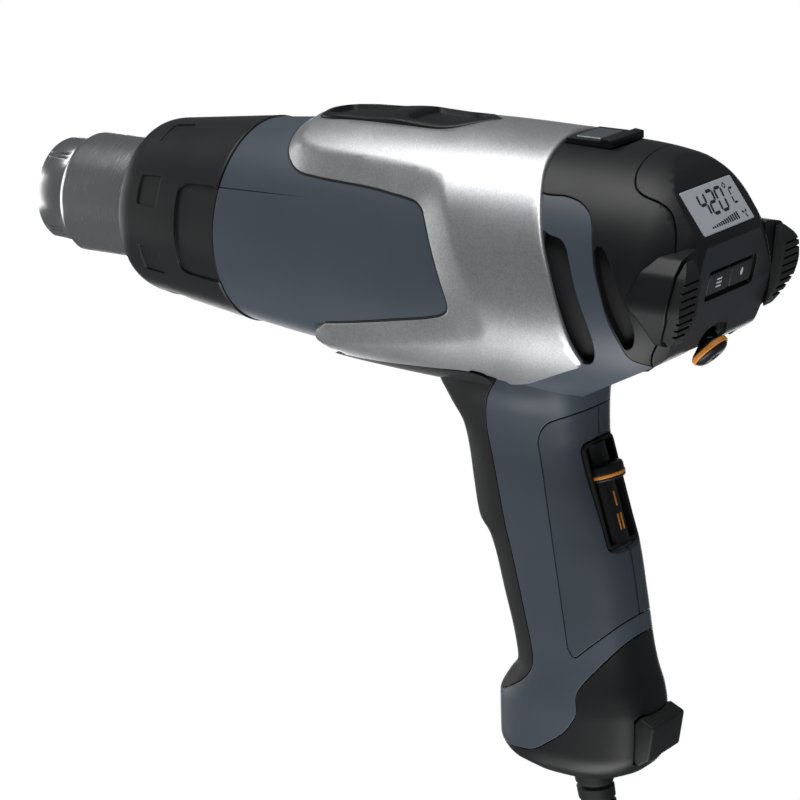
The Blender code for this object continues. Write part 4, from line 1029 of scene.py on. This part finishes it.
def on_face(axes, outline, levels, name, finish=None):
    """An outline (y, z) on a face drawn out through levels, each (distance out, inset)."""
    rings = []
    for out, inset in levels:
        line = grown(outline, -inset) if inset else outline
        rings.append([tuple(axes @ Vector((out, y, z))) for y, z in line])
    return loft(name, rings, finish)


def rectangle(width, height, corner=0.0, y=0.0, z=0.0, steps=4):
    line = [(y + width / 2, z + height / 2), (y - width / 2, z + height / 2), (y - width / 2, z - height / 2),
            (y + width / 2, z - height / 2)]
    return corner_rounded(line, corner, steps) if corner else line


def stick_turned(name, outline, finish=None, hollow=False, sides=72):
    """A piece turned about the joystick's own line, from (distance out, radius) points."""
    rings = [[tuple(stick_axes @ Vector(p)) for p in circle(x, r, sides)] for x, r in outline]
    return loft(name, rings, finish, not hollow)


def rear_cap():
    cap = body_solid("cap_shell", 3.7, 34, 0, BLACK)
    boolean(cap, through("keep_head", HEAD_OUTLINE), "INTERSECT")
    boolean(cap, through("cap_region", CAP_OUTLINE), "INTERSECT")
    cavity = body_solid("cap_cavity", 6.5, 40, WALL)
    boolean(cap, boolean(cavity, through("keep_inner", grown(HEAD, -WALL)), "INTERSECT"))
    window = rectangle(2 * DISPLAY_HALF_WIDTH + 0.5, DISPLAY_HEIGHT + 0.5, 0.8)
    boolean(cap, on_face(display_axes, window, ((-9, 0), (5, 0)), "cut_display"))
    boolean(cap, on_face(key_axes, rectangle(28.4, 9.4, 1.6), ((-1.4, 0), (6, 0)), "cut_recess"))
    for place in (0.5, -0.5):
        hole = rectangle(KEY_SIZE[0] + 0.5, KEY_SIZE[1] + 0.5, 1.0, place * KEY_PITCH)
        boolean(cap, on_face(key_axes, hole, ((-7, 0), (6, 0)), "cut_key"))
    boolean(cap, stick_turned("stick_hole", STICK_HOLE))
    rearward, to_gun = STAND.to_3x3() @ Vector((-cos(KEY_TILT), 0, -sin(KEY_TILT))), STAND.inverted()
    panel = len(cap.data.materials)
    cap.data.materials.append(CHARCOAL)
    for face in cap.data.polygons:  # the flat key panel is lighter than the dome, except inside the keys' recess
        x, y, z = to_gun @ face.center / MM
        deep = (KEY_CENTRE[0] - x) * cos(KEY_TILT) + (KEY_CENTRE[1] - z) * sin(KEY_TILT) < -0.7
        if face.normal.dot(rearward) > 0.95 and not (deep and abs(y) < 14.6 and -3 < z < 7.5):
            face.material_index = panel
    piece(cap, "gun", "black_plastic", "rear_cap")


SEGMENTS = {"a": (0, 1, 1, 1), "b": (1, 1, 1, 0), "c": (1, 0, 1, -1), "d": (0, -1, 1, -1), "e": (0, 0, 0, -1),
            "f": (0, 1, 0, 0), "g": (0, 0, 1, 0)}
SHAPES = {"4": "bcfg", "2": "abged", "0": "abcdef", "C": "adef", "o": "abgf"}


def segment(start, end, width):
    """A display segment: a bar with pointed ends."""
    a, b = Vector(start), Vector(end)
    along = (b - a).normalized()
    side = Vector((-along[1], along[0])) * width / 2
    tip = width / 2
    a, b = a + along * 0.12, b - along * 0.12
    return [tuple(p) for p in (a, a + along * tip + side, b - along * tip + side, b, b - along * tip - side,
                               a + along * tip - side)]


def join_all(name, parts, finish):
    """Many closed shapes as one piece."""
    points, faces = [], []
    for part in parts:
        first = len(points)
        points += [tuple(v.co) for v in part.data.vertices]
        faces += [[first + i for i in face.vertices] for face in part.data.polygons]
        remove(part)
    mesh = bpy.data.meshes.new(name)
    mesh.from_pydata(points, [], faces)
    mesh.materials.append(finish)
    return linked(name, mesh)


def display():
    """The cell behind its window, a generic reading, a row of rising bars and a fan symbol."""
    window = rectangle(2 * DISPLAY_HALF_WIDTH, DISPLAY_HEIGHT, 0.7)
    cell = on_face(display_axes, window, ((-1.2, 0), (-0.1, 0), (0.08, 0.2)), "display_face", LCD)
    piece(cell, "gun", "display_glass", "display_window")
    marks = []

    def mark(outline):
        marks.append(on_face(display_axes, outline, ((0.0, 0), (0.13, 0)), "mark"))

    def glyph(shape, left, foot, wide, tall, line):
        for name in SHAPES[shape]:
            x1, y1, x2, y2 = SEGMENTS[name]
            ends = [(left - wide * x, foot + tall * (y + 1) / 2) for x, y in ((x1, y1), (x2, y2))]
            mark([(y - 0.16 * z, z) for y, z in segment(*ends, line)])

    for place, shape in enumerate("420"):
        glyph(shape, 8.3 - 5.0 * place, -2.0, 3.5, 7.0, 0.95)
    glyph("o", -6.9, 3.0, 1.3, 2.6, 0.5)
    glyph("C", -9.1, -1.0, 2.2, 4.6, 0.62)
    for k in range(13):
        left, tall = 8.6 - 1.25 * k, 0.5 + 0.15 * k
        mark([(left, -5.9), (left - 0.8, -5.9), (left - 0.8, -5.9 + tall), (left, -5.9 + tall)])
    for k in range(3):
        turn = 2 * pi * k / 3 + 0.5
        hub = Vector((-11.2, -4.8))
        arm, side = Vector((cos(turn), sin(turn))), Vector((-sin(turn), cos(turn)))
        mark([tuple(hub + arm * 0.3 - side * 0.2), tuple(hub + arm * 1.4 - side * 0.5), tuple(hub + arm * 1.5),
              tuple(hub + arm * 1.2 + side * 0.3), tuple(hub + arm * 0.3 + side * 0.2)])
    piece(join_all("display_reading", marks, DIGIT), "gun", "display_cell")


def keys():
    """Two rubbery keys with generic symbols."""
    for name, node, place in (("program_key", "button_program", 0.5), ("fan_key", "button_fan", -0.5)):
        axes = key_axes @ Matrix.Translation((0, place * KEY_PITCH, 0))
        made = on_face(axes, rectangle(*KEY_SIZE, 1.0), ((-3.6, 0), (-0.75, 0), (-0.5, 0.12), (-0.4, 0.4)),
                       f"{name}_cap", CHARCOAL)
        piece(made, name, "black_plastic", node)
        parts = []
        if place > 0:
            for k in (-1, 0, 1):
                parts.append(on_face(axes, rectangle(3.0, 0.55, 0.2, 0, 1.15 * k), ((-0.5, 0), (-0.34, 0)), "bar"))
        else:
            drop = [(0.75 * sin(a) * (1 - 0.45 * cos(a / 2) ** 6), 0.3 - 1.1 * cos(a) * (1 if cos(a) > 0 else 1.3))
                    for a in np.linspace(-pi, pi, 24, endpoint=False)]
            parts.append(on_face(axes, drop, ((-0.5, 0), (-0.34, 0)), "drop"))
        piece(join_all(f"{name}_symbol", parts, ICON), name, "display_glass")


def joystick():
    head = [(-4.4, 1.6), (1.2, 1.9), (2.2, 3.9), (2.7, 5.0), (3.1, 5.55), (3.4, 5.6), (5.2, 5.6), (5.6, 5.45),
            (6.2, 4.8), (6.6, 3.8), (6.8, 2.6), (6.75, 1.6), (6.5, 0.8), (6.4, 0.2)]
    piece(stick_turned("stick_cap", head, BLACK), "stick", "black_rubber", "joystick_head")
    ring = [(3.5, 5.7), (3.5, STICK_R - 0.2), (3.75, STICK_R), (4.85, STICK_R), (5.1, STICK_R - 0.2), (5.1, 5.7)]
    piece(stick_turned("stick_band", ring[::-1], ORANGE, True), "stick", "orange_plastic", "joystick_ring")


housing()
screws()
inlet_cover()
latch()
filters()
rear_cap()
display()
keys()
joystick()


# ---- Stand arms and ribbed pads ----
ARM_REAR_VIEW = corner_rounded([(20, 15.4), (29, 13.6), (33.5, 9.6), (35.4, 4.6), (36.3, 2), (35.9, -1), (33, -7),
                                (30, -12), (22, -14.4), (18, -12)], 1.2, 3)


def stand_x(z):
    """Where the stand plane lies at a height."""
    return PAD_X + (PAD_Z - z) * tan(LEAN)


PAD_SIDE = corner_rounded([(5.2, 13.2), (3.4, 10.6), (stand_x(7.5), 7.5), (stand_x(-3.5), -3.5), (6.2, -8),
                           (8.8, -12), (11.6, -10.4), (8.0, -3.5), (6.4, 2), (5.8, 7.5)], 0.4, 2)
ARM_SIDE = corner_rounded([(6.1, 16), (6.1, 7.5), (6.7, 2), (8.3, -3.6), (12, -10.8), (11, -16), (27, -16), (27, 16)],
                          1.0, 3)


GROOVES, GROOVE_TOP, GROOVE_PITCH = 9, 9.4, 2.3


def rear_prism(name, outline, start, end, sign, finish=None):
    """An outline (y, z) seen from the rear, drawn out along x, on one side of the gun."""
    return loft(name, [[(x, sign * y, z) for y, z in outline] for x in (start, end)], finish)


def stand(side, sign):
    arm = rear_prism(f"arm_{side}", ARM_REAR_VIEW, 0, 26, sign, BLACK)
    boolean(arm, through("arm_side", ARM_SIDE), "INTERSECT")
    boolean(arm, body_solid("seat", 3.7, 40, -0.1))
    piece(arm, "gun", "black_plastic", f"stand_arm_{side}", angle=28)
    pad = rear_prism(f"pad_{side}", grown(ARM_REAR_VIEW, -0.8), 0, 26, sign, RUBBER)
    boolean(pad, through("pad_side", PAD_SIDE), "INTERSECT")
    boolean(pad, body_solid("seat", 3.7, 40, -0.3))
    boolean(pad, block("inner", (-5, -24.4, -20), (20, 24.4, 20)))
    for k in range(GROOVES):
        z = GROOVE_TOP - GROOVE_PITCH * k
        x = stand_x(z) if z > -3.5 else stand_x(-3.5) + (-3.5 - z) * 0.55
        low = [(x - 1, z), (x + 0.75, z + 0.35), (x + 0.75, z + 0.75), (x - 1, z + 1.1)]
        y_low, y_high = sorted((sign * 25.6, sign * 34.6))
        boolean(pad, prism("groove", low, y_low, y_high))
    piece(pad, "gun", "black_rubber", f"stand_pad_{side}", angle=28)


for side, sign in (("left", 1), ("right", -1)):
    stand(side, sign)


# ---- Handle: front grip, side panels, base and foot pad ----
def front_grip():
    xs = np.linspace(30, 154, 90)
    outer = [(float(x), float(SADDLE(x)) - 0.15) for x in xs]
    inner = [(float(x), float(BODY(x))) for x in xs]
    grip = turned("grip_front", outer + inner[::-1], RUBBER)
    boolean(grip, handle_solid("handle_outer", 0), "UNION")
    boolean(grip, through("grip_region", GRIP_OUTLINE), "INTERSECT")
    boolean(grip, handle_solid("handle_cavity", WALL + PANEL_DEPTH + 0.3, -18, -152))
    boolean(grip, body_solid("core", 30, 165, 0))
    boolean(grip, through("base_region", grown(BASE_OUTLINE)))
    piece(grip, "gun", "black_rubber", "front_grip")


def side_panels():
    for side, low, high in (("left", 0.5, FAR), ("right", -FAR, -0.5)):
        panel = handle_solid(f"side_panel_{side}", 0, -30, -140, PANEL)
        boolean(panel, through("panel_region", PANEL_OUTLINE), "INTERSECT")
        boolean(panel, handle_solid("panel_core", PANEL_DEPTH, -20, -150))
        boolean(panel, switch_well("well", 0, SWITCH_LENGTH, SWITCH_HALF_WIDTH + 0.3, -12, 12, 2.0, 1.7))
        boolean(panel, slab(low, high), "INTERSECT")
        piece(panel, "gun", "blue_grey_plastic", f"grip_panel_{side}")


FOOT = [(stand_x(-138.5), -138.5), (stand_x(-149.5), -149.5), (31.2, -152.2), (33.4, -149.5), (33.4, -139),
        (30.6, -136.2)]
FOOT_HALF_WIDTH = 9.5


def handle_base():
    base = handle_solid("base_shell", 0, -90, finish=BLACK)
    boolean(base, through("base_region", BASE_OUTLINE), "INTERSECT")
    boolean(base, handle_solid("base_cavity", WALL + 0.8, -92, HANDLE_FOOT + 3))
    hole = [[(BOOT_X + 4.7 * cos(2 * pi * i / 40), 4.7 * sin(2 * pi * i / 40), z) for i in range(40)]
            for z in (-165, -150)]
    boolean(base, loft("boot_hole", hole))
    boolean(base, prism("foot_seat", grown(FOOT, 0.4), -FOOT_HALF_WIDTH - 0.4, FOOT_HALF_WIDTH + 0.4))
    piece(base, "gun", "black_plastic", "handle_base")
    foot = soften(prism("foot_block", FOOT, -FOOT_HALF_WIDTH, FOOT_HALF_WIDTH, RUBBER), 0.8, 3)
    piece(foot, "gun", "black_rubber", "foot_pad")


# ---- Switch on the handle's back ----
KNOB_START, KNOB_THICK, KNOB_DEPTH = 10.2, 5.2, 1.8


def knob(name, profile, finish, ends=True):
    """A disc or a ring about a line down the slot, from (distance, radius) points, with room for the rail."""
    sides = 72
    rings = [[along_switch(d, KNOB_DEPTH + r * cos(2 * pi * i / sides), r * sin(2 * pi * i / sides))
              for i in range(sides)] for d, r in profile]
    return boolean(loft(name, rings, finish, ends), rail("rail_hole", -5, 40, 0.3))


RAIL = [(9.0, -4.2), (2.2, -4.2), (0.8, -3.2), (0.2, -1.8), (0.2, 1.8), (0.8, 3.2), (2.2, 4.2), (9.0, 4.2)]


def rail(name, start, end, by=0.0, finish=None):
    """The rounded rail, (depth, y), that the knob slides on, between two distances down the slot."""
    section = grown(RAIL, by) if by else RAIL
    return loft(name, [[along_switch(d, depth, y) for depth, y in section] for d in (start, end)], finish)


def switch():
    # The track takes the near-black recess finish: painted shade in the slot.
    track = switch_well("slot_track", 0.2, SWITCH_LENGTH - 0.2, SWITCH_HALF_WIDTH - 0.1, 1.0, 12, 1.8, 0, RECESS_SHADE_BLACK)
    boolean(track, switch_well("cut", 1.3, SWITCH_LENGTH - 1.3, SWITCH_HALF_WIDTH - 1.1, -9, 8.4, 1.2))
    piece(track, "gun", "black_plastic", "switch_track")
    start = KNOB_START - 2.6
    end = start + KNOB_THICK
    r = SWITCH_KNOB_R
    outline = [(start, r - 1.4), (start + 0.15, r - 0.7), (start + 0.5, r - 0.2), (start + 1.0, r)]
    outline += [(KNOB_START + 0.3, r), (KNOB_START + 0.3, r - 0.9), (KNOB_START + 1.55, r - 0.9),
                (KNOB_START + 1.55, r)]
    outline += [(end - 0.6, r), (end - 0.2, r - 0.3), (end, r - 1.0)]
    piece(knob("slide_knob", outline, BLACK), "switch_knob", "black_plastic", "switch_slider")
    piece(rail("slot_rail", 1.2, SWITCH_LENGTH - 1.2, 0, BLACK), "gun", "black_plastic")
    bars = [(16.6, 21.2, -0.35, 0.35), (23.6, 28.6, 0.5, 1.2), (23.6, 28.6, -1.2, -0.5)]
    marks = [loft("bar", [[along_switch(d, depth, y) for d, y in ((a, lo), (b, lo), (b, hi), (a, hi))]
                          for depth in (0.35, 0.08)]) for a, b, lo, hi in bars]
    piece(join_all("slot_marks", marks, ORANGE), "gun", "orange_plastic")
    band = [(KNOB_START + 0.4, r - 0.8), (KNOB_START + 0.4, r + 0.05), (KNOB_START + 0.55, r + 0.15),
            (KNOB_START + 1.3, r + 0.15), (KNOB_START + 1.45, r + 0.05), (KNOB_START + 1.45, r - 0.8)]
    piece(knob("slide_band", band, ORANGE, False), "switch_knob", "orange_plastic", "switch_ring")


front_grip()
side_panels()
handle_base()
switch()


# ---- Outlet and protective sleeve ----
OUTLET_R, OUTLET_BORE_R, OUTLET_X = 17.0, 15.4, 255.6
TUBE_R, TUBE_FRONT_X, TUBE_REAR_X = 20.0, 242.0, 178.5
SLEEVE_FRONT_X, SLEEVE_REAR_X = 213.6, 170.8
SLEEVE_FRONT_R, SLEEVE_REAR_R, SLEEVE_WALL = 27.7, 32.8, 2.3
NOTCHES, NOTCH_START, NOTCH_END = 8, SLEEVE_FRONT_X - 18.2, SLEEVE_FRONT_X - 9.6
NOTCH_TURN, NOTCH_HALF, NOTCH_DEPTH = 23, 9.7, 0.45  # turn and half width in degrees
SIDE_PAD_START, SIDE_PAD_END = SLEEVE_REAR_X - 2, SLEEVE_FRONT_X - 26.5
SIDE_PAD_TURNS, SIDE_PAD_HALF, SIDE_PAD_DEPTH = (89.0, 271.0), 28, 0.7


def nozzle():
    """The stepped outlet tube, rolled in at its mouth, with a groove at the step."""
    outer = [(OUTLET_X - 1.0, OUTLET_BORE_R), (OUTLET_X - 0.3, OUTLET_BORE_R + 0.15), (OUTLET_X, OUTLET_BORE_R + 0.6),
             (OUTLET_X, OUTLET_R - 0.7), (OUTLET_X - 0.2, OUTLET_R - 0.25), (OUTLET_X - 0.7, OUTLET_R)]
    outer += [(TUBE_FRONT_X + 3.6, OUTLET_R + 0.35), (TUBE_FRONT_X + 3.0, OUTLET_R + 0.2),
              (TUBE_FRONT_X + 2.5, OUTLET_R + 0.35), (TUBE_FRONT_X + 2.1, 18.2), (TUBE_FRONT_X + 1.8, 18.9),
              (TUBE_FRONT_X + 1.2, 19.5), (TUBE_FRONT_X + 0.3, 19.9), (TUBE_FRONT_X - 0.6, TUBE_R)]
    outer += [(TUBE_REAR_X + 2, TUBE_R), (TUBE_REAR_X + 2, 28), (TUBE_REAR_X, 28), (TUBE_REAR_X, 18.6),
              (TUBE_FRONT_X - 3, 18.6), (TUBE_FRONT_X, 17.4), (TUBE_FRONT_X + 3, OUTLET_BORE_R)]
    tube = turned("outlet_tube", outer, STEEL, 160)
    for k in range(4):
        turn = radians(37 + 90 * k)
        for middle in (-0.85, 0.85):
            slot = corner_rounded([(0, middle + 0.35), (7.4, middle + 0.35), (7.4, middle - 0.35),
                                   (0, middle - 0.35)], 0.3, 3)
            rings = [[(TUBE_FRONT_X + 5.0 + x, r * sin(turn + w / OUTLET_R), r * cos(turn + w / OUTLET_R))
                      for x, w in slot] for r in (OUTLET_R - 0.35, OUTLET_R + 1.2)]
            boolean(tube, loft("slot", rings))
    piece(tube, "gun", "brushed_steel", "outlet_nozzle")


def sleeve_radius(x):
    part = (x - SLEEVE_REAR_X) / (SLEEVE_FRONT_X - 7 - SLEEVE_REAR_X)
    return SLEEVE_REAR_R + (SLEEVE_FRONT_R + 0.75 - SLEEVE_REAR_R) * np.minimum(part, 1.15)


def sleeve_pad(start, end, turn, half, corner, depth):
    """A cutter of even depth on the sleeve, from start to end, about an angle from the top in degrees."""
    low, high = (radians(turn + d) * UNROLL for d in (-half, half))
    line = corner_rounded([(start, low), (end, low), (end, high), (start, high)], corner, 4)
    return patch("sleeve_pad", [dense(line)], [], lambda p: sleeve_radius(p[:, 0]) + 3,
                 lambda p: sleeve_radius(p[:, 0]) - depth, None)


def sleeve():
    """The pull-off sleeve: a cone with notches round its front and a shallow panel on each side."""
    outer = [(SLEEVE_REAR_X, SLEEVE_REAR_R - SLEEVE_WALL), (SLEEVE_REAR_X, SLEEVE_REAR_R - 0.4),
             (SLEEVE_REAR_X + 0.4, SLEEVE_REAR_R)]
    outer += [(x, sleeve_radius(x)) for x in np.linspace(SLEEVE_REAR_X + 2, SLEEVE_FRONT_X - 7, 16)]
    mid, edge = (SLEEVE_FRONT_X - 7, SLEEVE_FRONT_R + 0.75), (SLEEVE_FRONT_X, SLEEVE_FRONT_R - 2.8)
    bend = (SLEEVE_FRONT_X - 0.2, SLEEVE_FRONT_R + 0.1)
    for k in range(1, 11):
        t = k / 10
        outer.append(tuple((1 - t) ** 2 * a + 2 * t * (1 - t) * b + t * t * c for a, b, c in zip(mid, bend, edge)))
    outer += [(SLEEVE_FRONT_X, 21.8), (SLEEVE_FRONT_X - 0.4, 21.4), (SLEEVE_FRONT_X - 2.4, 21.4),
              (SLEEVE_FRONT_X - 2.4, SLEEVE_FRONT_R - 4), (SLEEVE_FRONT_X - 8, SLEEVE_FRONT_R + 0.9 - SLEEVE_WALL)]
    made = turned("sleeve_cone", outer[::-1], SLEEVE_BLACK, 160)
    for k in range(NOTCHES):
        turn = NOTCH_TURN + 360 / NOTCHES * k
        boolean(made, sleeve_pad(NOTCH_START, NOTCH_END, turn, NOTCH_HALF, 0.9, NOTCH_DEPTH))
    for turn in SIDE_PAD_TURNS:
        boolean(made, sleeve_pad(SIDE_PAD_START, SIDE_PAD_END, turn, SIDE_PAD_HALF, 4.5, SIDE_PAD_DEPTH))
    piece(made, "sleeve", "black_plastic", "protective_sleeve")


nozzle()
sleeve()


# ---- The other frame nodes keep their shape and get a finish ----
INSIDE = {
    "heat_shield": PLAIN_STEEL, "insulating_tube": MICA, "heater_core": CERAMIC, "heating_coil": WIRE,
    "thermocouple": PLAIN_STEEL, "fan_motor": PLAIN_STEEL, "motor_mount": BLACK, "motor_shaft": PLAIN_STEEL,
    "fan_impeller": BLACK, "control_board": BOARD, "display_board": BOARD, "display_panel": LCD,
    "joystick_gimbal": PLAIN_STEEL, "joystick_socket": BLACK, "switch_module": BLACK, "terminal_block": BLACK,
    "cord_clamp": BLACK}
for name, finish in INSIDE.items():
    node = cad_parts[name]
    node.data.materials.clear()
    node.data.materials.append(finish)


# ---- Floor, light and world ----
def floor():
    """A pale floor under the object, which is clear from below and lets light through."""
    side = 3.0
    mesh = bpy.data.meshes.new("floor")
    mesh.from_pydata([(-side, -side, -0.0006), (side, -side, -0.0006), (side, side, -0.0006), (-side, side, -0.0006)],
                     [], [(0, 1, 2, 3)])
    made = linked("floor", mesh)
    finish, nodes, links, shader = new_material("floor")
    set_inputs(shader, {"Base Color": (0.80, 0.80, 0.80, 1), "Roughness": 0.9})
    clear, mix, back = (nodes.new("ShaderNode" + kind) for kind in ("BsdfTransparent", "MixShader", "NewGeometry"))
    links.new(back.outputs["Backfacing"], mix.inputs["Fac"])
    links.new(shader.outputs["BSDF"], mix.inputs[1])
    links.new(clear.outputs["BSDF"], mix.inputs[2])
    links.new(mix.outputs["Shader"], nodes["Material Output"].inputs["Surface"])
    mesh.materials.append(finish)
    made.visible_shadow = made.visible_diffuse = made.visible_glossy = made.visible_transmission = False


TARGET = Vector((-0.03, 0, 0.12))


def softbox(name, direction, distance, size, power, along=None):
    """A rectangular lamp that faces the object, with its long side along a direction."""
    lamp = bpy.data.lights.new(name, "AREA")
    lamp.shape = "RECTANGLE"
    lamp.size, lamp.size_y = size
    lamp.energy = power
    made = linked(name, lamp)
    out = Vector(direction).normalized()
    long_side = Vector(along or RIGHT)
    long_side = (long_side - out * long_side.dot(out)).normalized()
    made.matrix_world = Matrix.Translation(TARGET + out * distance) \
        @ Matrix((long_side, out.cross(long_side), out)).transposed().to_4x4()
    made.visible_camera = False
    return made


def seen_at(side, above):
    """A direction from the object, by its angles to the right of and above the line to the camera."""
    side, above = radians(side), radians(above)
    return -FORWARD * cos(side) * cos(above) + RIGHT * sin(side) * cos(above) + UP * sin(above)


def lights():
    barrel = STAND.to_3x3() @ Vector((1, 0, 0))
    softbox("upper_softbox", seen_at(-12, 66), 1.3, (1.9, 0.85), 20, along=barrel)
    softbox("lower_softbox", seen_at(-10, -72), 1.3, (1.9, 0.75), 22, along=barrel)
    softbox("overhead", (0.2, 0.1, 1), 1.6, (1.2, 1.2), 8)
    softbox("far_side", (0.5, -1, 0.5), 1.6, (1.2, 1.0), 10)
    world = bpy.data.worlds.new("studio")
    bpy.context.scene.world = world
    world.use_nodes = True
    nodes, links = world.node_tree.nodes, world.node_tree.links
    seen, lit = nodes["Background"], nodes.new("ShaderNodeBackground")
    set_inputs(seen, {"Color": (1, 1, 1, 1), "Strength": 1.0})
    set_inputs(lit, {"Color": (0.93, 0.97, 1, 1), "Strength": 0.13})
    path, mix = nodes.new("ShaderNodeLightPath"), nodes.new("ShaderNodeMixShader")
    links.new(path.outputs["Is Camera Ray"], mix.inputs["Fac"])
    links.new(lit.outputs["Background"], mix.inputs[1])
    links.new(seen.outputs["Background"], mix.inputs[2])
    links.new(mix.outputs["Shader"], nodes["World Output"].inputs["Surface"])
    bpy.context.scene.view_settings.view_transform = "Standard"


floor()
lights()
